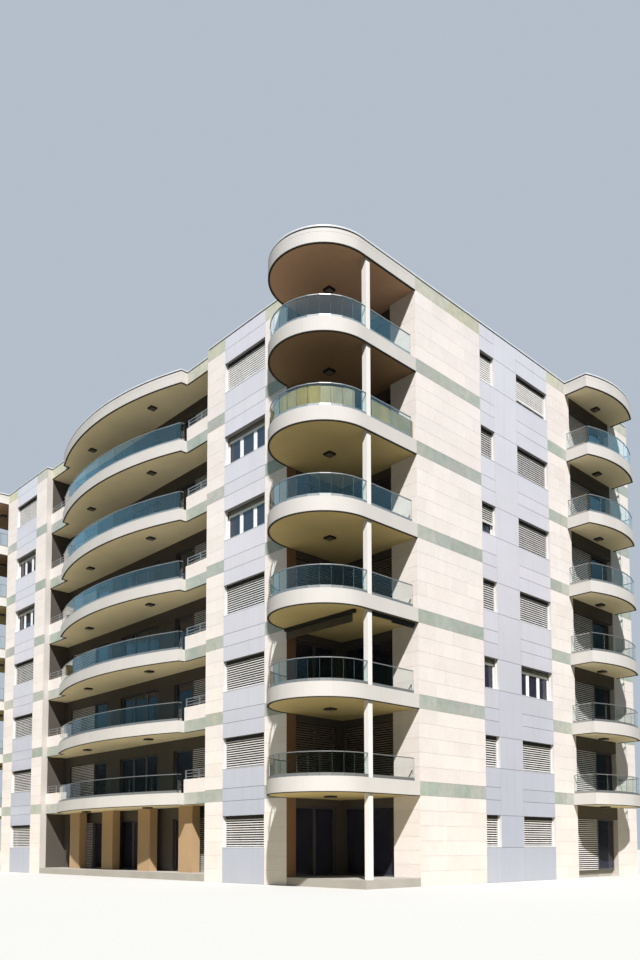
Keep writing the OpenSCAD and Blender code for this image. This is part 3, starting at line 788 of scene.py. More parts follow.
def offset(path, distance):
    """A path in plan moved out by a distance. Outwards is to the left of the way that it runs."""
    moved = []
    for i, point in enumerate(path):
        normals = []
        for start, end in ((i - 1, i), (i, i + 1)):
            if 0 <= start and end < len(path):
                way = (Vector(path[end]) - Vector(path[start])).normalized()
                normals.append(Vector((-way.y, way.x)))
        total = sum(normals, Vector((0, 0)))
        miter = total / total.length_squared * (2 if len(normals) == 2 else 1)
        moved.append(tuple(Vector(point) + miter * distance))
    return moved


def path_length(path):
    return sum((Vector(b) - Vector(a)).length for a, b in zip(path, path[1:]))


def stretch(path, start, end):
    """The part of a path between two distances along it."""
    part = []
    run = 0.0
    for a, b in zip(path, path[1:]):
        a, b = Vector(a), Vector(b)
        size = (b - a).length
        low = max(start, run)
        high = min(end, run + size)
        if high - low > WELD:
            for place in (low, high):
                point = a.lerp(b, (place - run) / size)
                if not part or (point - part[-1]).length > WELD:
                    part.append(point)
        run += size
    return [tuple(point) for point in part]


def arc(centre, radius, start, end, count):
    """Points on an arc, from one angle to another."""
    angles = [start + (end - start) * i / count for i in range(count + 1)]
    return [(centre[0] + radius * math.cos(a), centre[1] + radius * math.sin(a)) for a in angles]


def mirrored(path):
    """A path at the building's other end. It runs the other way, so that outwards stays to the left."""
    return [(-x, y) for x, y in reversed(path)]


ROUND_R = FRONT_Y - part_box("corner_balconies")[0].y
RECESS_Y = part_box("corner_balconies")[1].y
JAMB_X = HALF_W - 2 * ROUND_R
GLAZING_Y = max(low.y for low, high in solids("corner_headers"))
RETURN_X = max(low.x for low, high in solids("corner_return_walls"))
ROUND_STEPS = 48
BOW_STEPS = 40


def corner_edge():
    """Outer edge of the right-hand corner balcony: along the end wall, then round."""
    bend = arc((HALF_W - ROUND_R, FRONT_Y), ROUND_R, 0, -math.pi, ROUND_STEPS)
    return [(HALF_W, RECESS_Y)] + bend


def bow(half, rise):
    """Radius of a bow from its half width and its rise, and the angle that it reaches to each side."""
    radius = (half * half + rise * rise) / (2 * rise)
    return radius, math.asin(half / radius)


def side_edge():
    """Outer edge of a balcony on the right-hand end wall."""
    low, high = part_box("side_balconies")
    half = (high.y - low.y) / 2
    middle = (high.y + low.y) / 2
    corner_x = max(v.co.x for v in frame["nodes"]["side_balconies"].data.vertices if v.co.y < low.y + WELD)
    radius, reach = bow(half, high.x - corner_x)
    bend = arc((high.x - radius, middle), radius, reach, -reach, BOW_STEPS)
    return [(HALF_W, high.y)] + bend + [(HALF_W, low.y)]


def front_bow_edge():
    """Outer edge of the bowed middle balcony."""
    low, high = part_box("front_bow_balconies")
    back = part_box("front_loggia_bands")[0].y
    radius, reach = bow(high.x, FRONT_Y - low.y)
    down = -math.pi / 2
    bend = arc((0, low.y + radius), radius, down + reach, down - reach, BOW_STEPS)
    return [(high.x, back)] + bend + [(low.x, back)]


def corner_inside():
    """Corners of the right-hand recess, from the front jamb round to the return wall."""
    return [(JAMB_X, GLAZING_Y), (RETURN_X, GLAZING_Y), (RETURN_X, RECESS_Y)]


def decks():
    """Each deck's outer edge, with the corners that close its outline on the building's side."""
    return [
        (corner_edge(), corner_inside()),
        (mirrored(corner_edge()), mirrored(corner_inside())),
        (side_edge(), []),
        (mirrored(side_edge()), []),
        (front_bow_edge(), []),
    ]


# Geometry Nodes: slabs from flat cells, and slats from points

def set_and_realize(nodes, geometry, material, result):
    """Ends a tree: real geometry with the tree's material."""
    real = nodes.add("GeometryNodeRealizeInstances", {"Geometry": geometry})
    done = nodes.add("GeometryNodeSetMaterial", {"Geometry": real.outputs[0], "Material": material})
    nodes.feed(result["Geometry"], done.outputs[0])


@cache
def facing_slabs():
    """Each face becomes a slab of its own, with a tone of its own."""
    nodes, given, result = new_group(
        "Facing Slabs", "GeometryNodeTree",
        [("Geometry", "NodeSocketGeometry", None), ("Depth", VALUE, 0.006),
         ("Seed", "NodeSocketInt", 0), ("Material", "NodeSocketMaterial", None)],
        [("Geometry", "NodeSocketGeometry")])
    tone = nodes.add("FunctionNodeRandomValue", {"Seed": given["Seed"]}, data_type="FLOAT")
    toned = nodes.add("GeometryNodeStoreNamedAttribute", {"Geometry": given["Geometry"], "Name": "tone",
                                                          "Value": tone.outputs[1]},
                      data_type="FLOAT", domain="FACE")
    raised = nodes.add("GeometryNodeExtrudeMesh", {"Mesh": toned.outputs[0], "Offset Scale": given["Depth"],
                                                   "Individual": True}, mode="FACES")
    underside = nodes.add("GeometryNodeFlipFaces", {"Mesh": toned.outputs[0]})
    whole = nodes.add("GeometryNodeJoinGeometry")
    for part in (raised.outputs[0], underside.outputs[0]):
        nodes.tree.links.new(part, whole.inputs[0])
    closed = nodes.add("GeometryNodeMergeByDistance", {"Geometry": whole.outputs[0], "Distance": WELD})
    set_and_realize(nodes, closed.outputs[0], given["Material"], result)
    return nodes.tree


@cache
def shutter_rows():
    """A slat at each point, with the point's own length, height and heading."""
    nodes, given, result = new_group(
        "Shutter Slats", "GeometryNodeTree",
        [("Geometry", "NodeSocketGeometry", None), ("Thickness", VALUE, 0.014), ("Sides", "NodeSocketInt", 8),
         ("Seed", "NodeSocketInt", 0), ("Material", "NodeSocketMaterial", None)],
        [("Geometry", "NodeSocketGeometry")])
    middle = nodes.add("GeometryNodeCurvePrimitiveLine", {"Start": (-0.5, 0, 0), "End": (0.5, 0, 0)})
    circle = nodes.add("GeometryNodeCurvePrimitiveCircle", {"Resolution": given["Sides"], "Radius": 0.5})
    flatness = nodes.add("ShaderNodeCombineXYZ", {"X": given["Thickness"], "Y": 1.0, "Z": 1.0})
    profile = nodes.add("GeometryNodeTransform", {"Geometry": circle.outputs[0],
                                                  "Scale": flatness.outputs[0]})
    slat = nodes.add("GeometryNodeCurveToMesh", {"Curve": middle.outputs[0],
                                                 "Profile Curve": profile.outputs[0], "Fill Caps": True})
    size = nodes.add("GeometryNodeInputNamedAttribute", {"Name": "size"}, data_type="FLOAT_VECTOR")
    heading = nodes.add("GeometryNodeInputNamedAttribute", {"Name": "heading"}, data_type="FLOAT_VECTOR")
    turn = nodes.add("FunctionNodeEulerToRotation", {0: heading.outputs[0]})
    rows = nodes.add("GeometryNodeInstanceOnPoints", {"Points": given["Geometry"],
                                                      "Instance": slat.outputs[0],
                                                      "Rotation": turn.outputs[0],
                                                      "Scale": size.outputs[0]})
    tone = nodes.add("FunctionNodeRandomValue", {"Seed": given["Seed"]}, data_type="FLOAT")
    toned = nodes.add("GeometryNodeStoreNamedAttribute", {"Geometry": rows.outputs[0], "Name": "tone",
                                                          "Value": tone.outputs[1]},
                      data_type="FLOAT", domain="INSTANCE")
    set_and_realize(nodes, toned.outputs[0], given["Material"], result)
    return nodes.tree


def grow(name, mesh, tree, finish, slot, **values):
    """Runs a tree on a mesh and keeps the result as a plain mesh piece."""
    base = bpy.data.objects.new(name + "_base", mesh)
    bpy.context.scene.collection.objects.link(base)
    modifier = base.modifiers.new(tree.name, "NODES")
    modifier.node_group = tree
    values["Material"] = finish_of(finish)
    for item in tree.interface.items_tree:
        if item.item_type == "SOCKET" and item.in_out == "INPUT" and item.name in values:
            modifier[item.identifier] = values[item.name]
    depsgraph = bpy.context.evaluated_depsgraph_get()
    result = bpy.data.meshes.new_from_object(base.evaluated_get(depsgraph))
    bpy.data.objects.remove(base)
    return wrap_up(name, result, finish)


class Cells:
    """Gathers flat cells on facades for the slab tree."""

    def __init__(self):
        self.shapes = Shapes()

    def cell(self, facade, along, height, gap, depth=0.0):
        half = gap / 2
        corners = [facade.at(a, depth, z) for a, z in (
            (along[0] + half, height[0] + half), (along[1] - half, height[0] + half),
            (along[1] - half, height[1] - half), (along[0] + half, height[1] - half))]
        outwards = facade.along.cross(UP).dot(facade.inward) < 0
        self.shapes.add(corners, [(0, 1, 2, 3) if outwards else (3, 2, 1, 0)])

    def courses(self, facade, along, height, gap, slab, depth=0.0):
        """Rows of slabs in running bond over an area."""
        rows = max(1, round((height[1] - height[0]) / slab[1]))
        row_h = (height[1] - height[0]) / rows
        count = max(1, round((along[1] - along[0]) / slab[0]))
        slab_w = (along[1] - along[0]) / count
        for row in range(rows):
            shift = (row % 2) / 2 if count > 1 else 0.0
            cuts = [along[0]] + [along[0] + slab_w * (i + shift) for i in range(1 - int(shift > 0), count)]
            cuts = sorted(set(cuts)) + [along[1]]
            level = (height[0] + row * row_h, height[0] + (row + 1) * row_h)
            for start, end in zip(cuts, cuts[1:]):
                self.cell(facade, (start, end), level, gap, depth)


class Slats:
    """Gathers the points that slats are placed on."""

    def __init__(self):
        self.points = []
        self.sizes = []
        self.headings = []

    def fill(self, facade, along, depth, height, pitch, gap_share, tilt=0.0):
        """Slats from the top of an opening down, with a gap between them that is a share of the pitch."""
        rows = max(1, round((height[1] - height[0]) / pitch))
        step = (height[1] - height[0]) / rows
        for row in range(rows):
            z = height[0] + (row + 0.5) * step
            self.points.append(tuple(facade.at((along[0] + along[1]) / 2, depth, z)))
            self.sizes += [along[1] - along[0], 1.0, step * (1.0 - gap_share)]
            self.headings += [tilt, 0.0, facade.turn]

    def mesh(self, name):
        mesh = bpy.data.meshes.new(name)
        mesh.from_pydata(self.points, [], [])
        for label, data in (("size", self.sizes), ("heading", self.headings)):
            mesh.attributes.new(label, "FLOAT_VECTOR", "POINT").data.foreach_set("vector", data)
        return mesh


def coat(finish, *nodes):
    """Gives nodes of the construction their finish."""
    for node in nodes:
        materials = frame["nodes"][node].data.materials
        materials.clear()
        materials.append(finish_of(finish))


# Nodes of the construction that are dressed alike
STONE_WALLS = ("front_pilasters", "front_piers", "side_stone_walls", "side_pilasters", "end_walls",
               "back_stone_walls")
BAY_WALLS = ("front_bay_walls", "back_bay_walls", "side_bay_walls")
WINDOW_GLASS = ("front_window_glass", "side_window_glass", "back_window_glass")
BALCONY_GLASS = ("corner_balcony_glass", "side_balcony_glass", "front_bow_glass")
SHUTTER_NODES = ("front_shutters", "side_shutters", "back_shutters")

# Storeys with something of their own: reed screens, awnings, and blinds before the corner doors
SCREENED_STOREY = 5
AWNING_STOREY = 2
BLIND_STOREYS = (1, 3)

# Open share of a shutter's pitch, and the pitch itself, on the lower storeys and on the top one
LOWER_SLATS = (0.56, 0.088)
TOP_SLATS = (0.24, 0.088)

# Slats of a rolled-up shutter that show in its slot, and the share of a slat's place left free below them
ROLL_ROWS = 2
ROLL_SPARE = 0.5

# Share of its wall that the shutter of a side balcony's doors and of a loggia's doors covers
SIDE_DOOR_SHUTTER = 0.58
LOGGIA_DOOR_SHUTTER = 0.65

# A door's shutter: how far it hangs before the glass, how far its slats end inside it, its guides' width and
# half their depth
DOOR_SHUTTER_OUT = 0.05
DOOR_SLAT_INSET = 0.03
DOOR_GUIDE_WIDTH = 0.04
DOOR_GUIDE_HALF = 0.03

# How far a door's frame stands past its glass, the share of a blind that is open, and its slats' thickness
DOOR_FRAME_PAST = 0.025
BLIND_GAP = 0.4
BLIND_THICKNESS = 0.01

# Depth of a drip line in thicknesses of the plaster, a lamp's lens as a share of its case, and a seal's sides
DRIP_DEPTH = 2.4
LENS_SHARE = 0.72
SEAL_SIDES = 8

# Parts along and down the awning's cloth, and half waves along its edge
CLOTH_COLUMNS = 96
CLOTH_ROWS = 6
CLOTH_WAVES = 9

# Run of the corner deck's edge from the recess up to its column
COLUMN_RUN = RECESS_Y - max(high.y for low, high in solids("corner_columns"))

# Seeds of the random tones and heights
SLAT_SEED = 3
REED_SEED = 4
DOOR_SLAT_SEED = 5
BLIND_SEED = 6
EDGE_SEED = 11


# Operators

class CoatStructure(bpy.types.Operator):
    """Give the walls, decks, columns, glass and metal of the construction their finishes"""

    bl_idname = "block.coat_structure"
    bl_label = "Structure finishes"

    def execute(self, context):
        coat("stone_bedding", *STONE_WALLS)
        coat("cream_stone", "corner_return_walls", "front_loggia_parapets")
        coat("green_stone", "front_bands", "side_bands", "back_bands", "front_loggia_bands")
        coat("panel_bedding", *BAY_WALLS, "side_wide_panels")
        coat("white_render", "corner_balconies", "front_bow_balconies", "side_balconies")
        coat("column", "corner_columns")
        coat("brown_wall", "corner_piers", "corner_headers", "front_loggia_walls", "front_loggia_headers",
             "side_lintels")
        coat("warm_stone", "ground_pillars")
        coat("coping", "roof_coping")
        coat("concrete", "ground_slab", "floor_slabs", "roof_slab")
        coat("rail", "glass_channels", "glass_top_rails", "parapet_railings")
        coat("window_glass", *WINDOW_GLASS, "corner_glazing", "front_loggia_glazing", "side_door_glazing")
        coat("balcony_glass", *BALCONY_GLASS)
        return {"FINISHED"}


class StoneCladding(bpy.types.Operator):
    """Lay the cream stone slabs between the bands, and the slabs of the bands themselves"""

    bl_idname = "block.stone_cladding"
    bl_label = "Stone cladding"

    def execute(self, context):
        clad = context.scene.block_cladding
        slab = (clad.slab_length, clad.slab_height)
        walls = {"front": Cells(), "side": Cells(), "back": Cells()}
        bands = Cells()
        levels = [0.0] + BAND_EDGES
        for facade, along, *_ in placed(STONE_WALLS):
            for height in zip(levels[0::2], levels[1::2]):
                walls[facade.name].courses(facade, along, height, clad.slab_joint, slab)
            for band in BAND_LEVELS:
                bands.courses(facade, along, band, clad.slab_joint, (slab[0], BAND_H))
        for low, high in solids("corner_return_walls"):
            along = (low.x, HALF_W) if low.x > 0 else (-HALF_W, high.x)
            for level in zip(FLOORS, CEILINGS):
                walls["front"].courses(FRONT, along, level, clad.slab_joint, slab, RECESS_Y - FRONT_Y)
        for name, cells in walls.items():
            grow(name + "_stone_slabs", cells.shapes.mesh(name), facing_slabs(), "cream_stone", "cream_stone",
                 Depth=clad.slab_depth, Seed=clad.seed)
        for low, high in solids("front_loggia_bands"):
            bands.courses(FRONT, (low.x, high.x), (low.z, high.z), clad.slab_joint, (slab[0], BAND_H),
                          low.y - FRONT_Y)
        grow("band_slabs", bands.shapes.mesh("bands"), facing_slabs(), "green_stone", "green_stone",
             Depth=clad.slab_depth, Seed=clad.seed + 1)
        return {"FINISHED"}


class RoofFelt(bpy.types.Operator):
    """Lay the felt of the flat roof over its slab and the tops of the inner walls, in strips"""

    bl_idname = "block.roof_felt"
    bl_label = "Roof felt"

    def execute(self, context):
        clad = context.scene.block_cladding
        low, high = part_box("roof_slab")
        felt = Shapes()
        rows = round((high.y - low.y) / clad.felt_width)
        step = (high.y - low.y) / rows
        draw = random.Random(clad.seed)
        for row in range(rows):
            y = low.y + row * step
            far = (high.x, y + step - clad.slab_joint, high.z + clad.felt_depth)
            felt.block((low.x, y, high.z), far, draw.random())
        felt.piece("roof_felt", "felt", "concrete")
        return {"FINISHED"}


class BrownJambs(bpy.types.Operator):
    """Face the recess side of each front pilaster with brown plates, storey by storey"""

    bl_idname = "block.brown_jambs"
    bl_label = "Brown jambs"

    def execute(self, context):
        clad = context.scene.block_cladding
        plates = Shapes()
        inner_y = max(box[1].y for box in solids("front_pilasters"))
        back = HALF_W - JAMB_X
        for facade in (RIGHT, LEFT):
            for height in zip(FLOORS, CEILINGS):
                plates.board(facade, (FRONT_Y, inner_y), (back - clad.slab_depth, back), height)
        plates.piece("brown_jambs", "brown_jamb", "brown_stone")
        return {"FINISHED"}


class WallPanels(bpy.types.Operator):
    """Hang the pale panels of the window bays, with joints at the floors, heads and sills"""

    bl_idname = "block.wall_panels"
    bl_label = "Wall panels"

    def execute(self, context):
        clad = context.scene.block_cladding
        cells = Cells()
        window_lines = [edge for *_, height in placed(["side_window_glass"]) for edge in height]
        for nodes, lines in ((BAY_WALLS, BAND_EDGES), (["side_wide_panels"], window_lines)):
            for facade, along, _, (low, high) in placed(nodes):
                inner = {round(line, 4) for line in lines if low + WELD < line < high - WELD}
                cuts = sorted(inner | {low, high})
                for level in zip(cuts, cuts[1:]):
                    cells.cell(facade, along, level, clad.panel_joint)
        grow("wall_panels", cells.shapes.mesh("panels"), facing_slabs(), "panel", "panel",
             Depth=clad.panel_depth, Seed=clad.seed + 2)
        return {"FINISHED"}


class Windows(bpy.types.Operator):
    """Fit each window with its frames, linings, sill and the dark slot of its shutter, a board painted near
    black as the shade under the head
    """

    bl_idname = "block.windows"
    bl_label = "Windows"

    def execute(self, context):
        hole = context.scene.block_openings
        frames, linings, sills, head_shade_slots = Shapes(), Shapes(), Shapes(), Shapes()
        shaded, rolls = Shapes(), Shapes()
        lowered = shutter_bottoms()
        for facade, along, glass, height in placed(WINDOW_GLASS):
            middle = sum(glass) / 2
            depth = (middle - hole.frame_depth / 2, middle + hole.frame_depth / 2)
            lights = max(1, round((along[1] - along[0]) / hole.light_width))
            width = (along[1] - along[0]) / lights
            inside = (along[0] + hole.reveal, along[1] - hole.reveal)
            bottom = lowered.get(window_key(facade, along, height), height[1])
            head = height[1] - hole.slot_height
            for i in range(lights):
                light = (along[0] + i * width, along[0] + (i + 1) * width)
                if bottom > height[0] + hole.stile:
                    window_light(frames, facade, light, depth, (height[0], min(bottom, head)), hole.stile,
                                 bottom > head)
                # Frames behind a lowered shutter are painted dark, as painted shade behind the slats.
                if bottom < head:
                    window_light(shaded, facade, light, depth, (bottom, head), hole.stile, True)
            for start, end in ((along[0], along[0] + hole.reveal), (along[1] - hole.reveal, along[1])):
                linings.board(facade, (start, end), (-hole.lip, depth[0]), height)
            sills.board(facade, inside, (-hole.lip, depth[0]), (height[0], height[0] + hole.sill))
            # Painted shade: a near-black board in the slot under the head.
            head_shade_slots.board(facade, inside, (depth[0] - hole.lip, depth[1]), (head, height[1]))
            # The rolled slats are painted darker than the shutter slats, as painted shade under the head.
            if bottom > head:
                for row in range(ROLL_ROWS):
                    z = height[1] - hole.slot_height * (row + 1) / (ROLL_ROWS + ROLL_SPARE)
                    rolls.board(facade, inside, (depth[0] - 2 * hole.lip, depth[0] - hole.lip),
                                (z - hole.slat_thickness, z + hole.slat_thickness))
        frames.piece("window_frames", "frame", "white_render")
        shaded.piece("shaded_window_frames", "dark_metal", "rail_metal")
        linings.piece("window_linings", "lining", "white_render")
        sills.piece("window_sills", "sill_metal", "rail_metal")
        head_shade_slots.piece("shutter_head_shade_slots", "dark_metal", "rail_metal")
        rolls.piece("rolled_slats", "rolled_slats", "shutter")
        return {"FINISHED"}


def window_key(facade, along, height):
    """Names a window by its facade, the middle of its span and the height of its head."""
    return facade, round(sum(along) / 2), round(height[1], 1)


def shutter_bottoms():
    """Height of each shutter's lower edge, by its window."""
    return {window_key(facade, along, height): height[0]
            for facade, along, _, height in placed(SHUTTER_NODES)}


def window_light(shapes, facade, along, depth, height, stile, has_head=True):
    """The sides of a frame round one light, with or without its head."""
    low, high = height[0] + stile, height[1] - stile
    for start, end in ((along[0], along[0] + stile), (along[1] - stile, along[1])):
        shapes.board(facade, (start, end), depth, height)
    inner = (along[0] + stile, along[1] - stile)
    shapes.board(facade, inner, depth, (height[0], low))
    if has_head:
        shapes.board(facade, inner, depth, (high, height[1]))


def slat_spacing(z):
    """Gap share and pitch of the slats of a shutter at a height."""
    return TOP_SLATS if storey_of(z) == STOREYS - 1 else LOWER_SLATS


class RollerShutters(bpy.types.Operator):
    """Hang the roller shutters slat by slat, with their bottom bars and guides"""

    bl_idname = "block.roller_shutters"
    bl_label = "Roller shutters"

    def execute(self, context):
        hole = context.scene.block_openings
        slats, bars, cases = Slats(), Shapes(), Shapes()
        for facade, along, depth, (low, high) in placed(SHUTTER_NODES):
            gap, pitch = slat_spacing(low)
            # The slats stop below the head, and the near-black case above them is painted shade that the head
            # casts.
            case = high - hole.case
            slats.fill(facade, along, sum(depth) / 2, (low + hole.bar, case), pitch, gap)
            cases.board(facade, along, depth, (case, high))
            bars.board(facade, along, depth, (low, low + hole.bar))
        guide_depth = (hole.guide_set, hole.guide_set + hole.bar)
        for facade, along, _, height in placed(WINDOW_GLASS):
            for start in (along[0] + hole.reveal, along[1] - hole.reveal - hole.guide):
                bars.board(facade, (start, start + hole.guide), guide_depth, height)
        grown = grow("shutter_slats", slats.mesh("slats"), shutter_rows(), "slats", "shutter",
                     Thickness=hole.slat_thickness, Seed=SLAT_SEED)
        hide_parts(*SHUTTER_NODES)
        bars.piece("shutter_bars", "slats", "shutter")
        cases.piece("shutter_head_shade_cases", "drip", "rail_metal")
        return {"FINISHED"}


class BalconyEdges(bpy.types.Operator):
    """Face the balcony edges with plates, and put a cap line and a drip line on them"""

    bl_idname = "block.balcony_edges"
    bl_label = "Balcony edges"

    def execute(self, context):
        deck = context.scene.block_balconies
        plates, drips, soffits, bow_soffits = Shapes(), Shapes(), Shapes(), Shapes()
        draw = random.Random(EDGE_SEED)
        half_joint = deck.plate_joint / 2
        drip_h = deck.soffit_depth * DRIP_DEPTH
        for edge, inside in decks():
            total = path_length(edge)
            count = round(total / deck.plate_length)
            step = total / count
            for level, (low, high) in enumerate(BAND_LEVELS):
                is_roof = level == len(BAND_LEVELS) - 1
                line = high - (deck.cap_line if is_roof else 0.0)
                for i in range(count):
                    part = stretch(edge, i * step + half_joint, (i + 1) * step - half_joint)
                    tone = draw.random()
                    plates.ribbon(part, 0.0, deck.plate_depth, low, line, tone)
                    if is_roof:
                        plates.ribbon(part, 0.0, deck.plate_depth, line + deck.plate_joint, high, tone)
                drips.ribbon(edge, -deck.drip, deck.plate_depth * 2, low - drip_h, low)
                ceiling = soffits if inside else bow_soffits
                ceiling.prism(offset(edge, -deck.drip) + inside, low - deck.soffit_depth, low)
        low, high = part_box("front_loggia_bands")
        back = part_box("front_loggia_headers")[0].y
        bow_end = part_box("front_bow_balconies")[1].x
        inner = bow_end - deck.drip
        for level in CEILINGS:
            under = level - deck.soffit_depth
            for side in BOTH_ENDS:
                drips.block((bow_end * side, low.y, under - deck.plate_depth),
                            (high.x * side, low.y + deck.drip, level))
            bow_soffits.block((low.x, low.y + deck.drip, under), (high.x, back, level))
            bow_soffits.block((-inner, low.y, under), (inner, low.y + deck.drip, level))
        plates.piece("balcony_edge_plates", "white_render", "white_render")
        drips.piece("drip_lines", "drip", "brown_stone")
        soffits.piece("corner_soffits", "soffit", "brown_stone")
        bow_soffits.piece("bow_soffits", "bow_soffit", "brown_stone")
        return {"FINISHED"}


class CeilingLamps(bpy.types.Operator):
    """Fix a square lamp under every balcony"""

    bl_idname = "block.ceiling_lamps"
    bl_label = "Ceiling lamps"

    def execute(self, context):
        deck = context.scene.block_balconies
        cases, shades = Shapes(), Shapes()
        side_y = sum(corner.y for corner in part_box("side_balconies")) / 2
        for side in BOTH_ENDS:
            spots = [((HALF_W - deck.corner_lamp_u) * side, FRONT_Y + deck.corner_lamp_v),
                     ((HALF_W + deck.side_lamp_out) * side, side_y),
                     (deck.front_lamp_x * side, FRONT_Y + deck.corner_lamp_v / 2)]
            for x, y in spots:
                for z in CEILINGS:
                    top = z - deck.soffit_depth
                    foot = top - deck.lamp_h
                    cases.prism(square(x, y, deck.lamp / 2), foot, top)
                    shades.prism(square(x, y, deck.lamp * LENS_SHARE / 2), foot - deck.plate_depth, foot)
        cases.piece("lamp_cases", "dark_metal", "rail_metal")
        shades.piece("lamp_shades", "lamp_glass", "window_glass")
        return {"FINISHED"}


def square(x, y, half):
    """Corners of a square in plan."""
    return [(x - half, y - half), (x + half, y - half), (x + half, y + half), (x - half, y + half)]


class Doors(bpy.types.Operator):
    """Fit the glazed doors of the loggias and balconies with frames, blinds and roller shutters"""

    bl_idname = "block.doors"
    bl_label = "Glazed doors"

    def execute(self, context):
        hole = context.scene.block_openings
        frames, slats, blinds = Shapes(), Slats(), Slats()
        for facade, along, glass, height in placed(["side_door_glazing"]):
            split = along[0] + (along[1] - along[0]) * SIDE_DOOR_SHUTTER
            self.shutter(frames, slats, facade, (along[0], split), glass[0] - DOOR_SHUTTER_OUT, height)
            self.leaves(frames, facade, (split, along[1]), glass, height, hole)
        for facade, along, glass, height in placed(["front_loggia_glazing"]):
            if along[0] * along[1] < 0:
                self.leaves(frames, facade, along, glass, height, hole)
                continue
            inner, outer = sorted(along, key=abs)
            split = outer + (inner - outer) * LOGGIA_DOOR_SHUTTER
            self.shutter(frames, slats, facade, sorted((outer, split)), glass[0] - DOOR_SHUTTER_OUT, height)
            self.leaves(frames, facade, sorted((split, inner)), glass, height, hole)
        for box in solids("corner_glazing"):
            is_long = box[1].x - box[0].x > box[1].y - box[0].y
            facade = FRONT if is_long else end_facade(box)
            along, glass, height = facade.place(box)
            self.leaves(frames, facade, along, glass, height, hole)
            if storey_of(height[0]) in BLIND_STOREYS:
                blinds.fill(facade, along, glass[0] - DOOR_SHUTTER_OUT, height, LOWER_SLATS[1], BLIND_GAP)
        frames.piece("door_frames", "door_frame", "rail_metal")
        grow("door_shutter_slats", slats.mesh("door_slats"), shutter_rows(), "slats", "shutter",
             Thickness=hole.slat_thickness, Seed=DOOR_SLAT_SEED)
        grow("door_blinds", blinds.mesh("door_blinds"), shutter_rows(), "blinds", "shutter",
             Thickness=BLIND_THICKNESS, Seed=BLIND_SEED)
        return {"FINISHED"}

    def leaves(self, shapes, facade, along, glass, height, hole):
        """Door leaves side by side, each with a frame."""
        count = max(1, round((along[1] - along[0]) / hole.door_width))
        width = (along[1] - along[0]) / count
        depth = (glass[0] - DOOR_FRAME_PAST, glass[1] + DOOR_FRAME_PAST)
        for i in range(count):
            start = along[0] + i * width
            window_light(shapes, facade, (start, start + width), depth, height, hole.door_stile)

    def shutter(self, shapes, slats, facade, along, depth, height):
        """A roller shutter let down in front of the glass, between guides."""
        gap, pitch = slat_spacing(height[0])
        inside = (along[0] + DOOR_SLAT_INSET, along[1] - DOOR_SLAT_INSET)
        slats.fill(facade, inside, depth, height, pitch, gap)
        for start in (along[0], along[1] - DOOR_GUIDE_WIDTH):
            shapes.board(facade, (start, start + DOOR_GUIDE_WIDTH),
                         (depth - DOOR_GUIDE_HALF, depth + DOOR_GUIDE_HALF), height)


class GlassJoints(bpy.types.Operator):
    """Seal the joints between the panes of the balcony glass"""

    bl_idname = "block.glass_joints"
    bl_label = "Glass joints"

    def execute(self, context):
        deck = context.scene.block_balconies
        seals = Shapes()
        for node in BALCONY_GLASS:
            for centre, low, high in pane_ends(node, deck.pane_gap):
                seals.prism(arc(centre, deck.seal, 0, 2 * math.pi, SEAL_SIDES)[:-1], low, high)
        seals.piece("glass_joints", "seal", "rail_metal")
        return {"FINISHED"}


def pane_ends(node, reach):
    """Middle of each end of the panes in plan, with its lowest and highest point."""
    mesh = frame["nodes"][node].data
    posts = []
    for edge in mesh.edges:
        a, b = (mesh.vertices[i].co for i in edge.vertices)
        if (a - b).xy.length < WELD and abs(a.z - b.z) > reach:
            low, high = sorted((a.z, b.z))
            near = [post for post in posts
                    if (post[0][0] - a.xy).length < reach and abs(post[1] - low) < reach]
            if near:
                near[0][0].append(a.xy.copy())
            else:
                posts.append(([a.xy.copy()], low, high))
    return [(sum(places, Vector((0, 0))) / len(places), low, high) for places, low, high in posts]


class RoundScreens(bpy.types.Operator):
    """Tie reed screens inside the glass of the corner balcony below the top one"""

    bl_idname = "block.round_screens"
    bl_label = "Reed screens"

    def execute(self, context):
        reeds = Shapes()
        deck = context.scene.block_balconies
        level = FLOORS[SCREENED_STOREY]
        edge = corner_edge()
        total = path_length(edge)
        draw = random.Random(REED_SEED)
        for start, end in ((deck.reed_end, COLUMN_RUN - deck.reed_set),
                           (COLUMN_RUN + 2 * deck.reed_gap, total - 2 * deck.reed_gap)):
            count = round((end - start) / deck.reed_width)
            for i in range(count):
                places = [start + (end - start) * step / count for step in (i, i + 1)]
                part = stretch(edge, places[0], places[1] - deck.plate_joint)
                top = level + deck.reed_height + deck.reed_ragged * draw.random()
                reeds.ribbon(part, -deck.reed_set - deck.reed_depth, -deck.reed_set,
                             level + deck.plate_joint, top, draw.random())
        reeds.piece("reed_screens", "reed", "brown_stone")
        return {"FINISHED"}


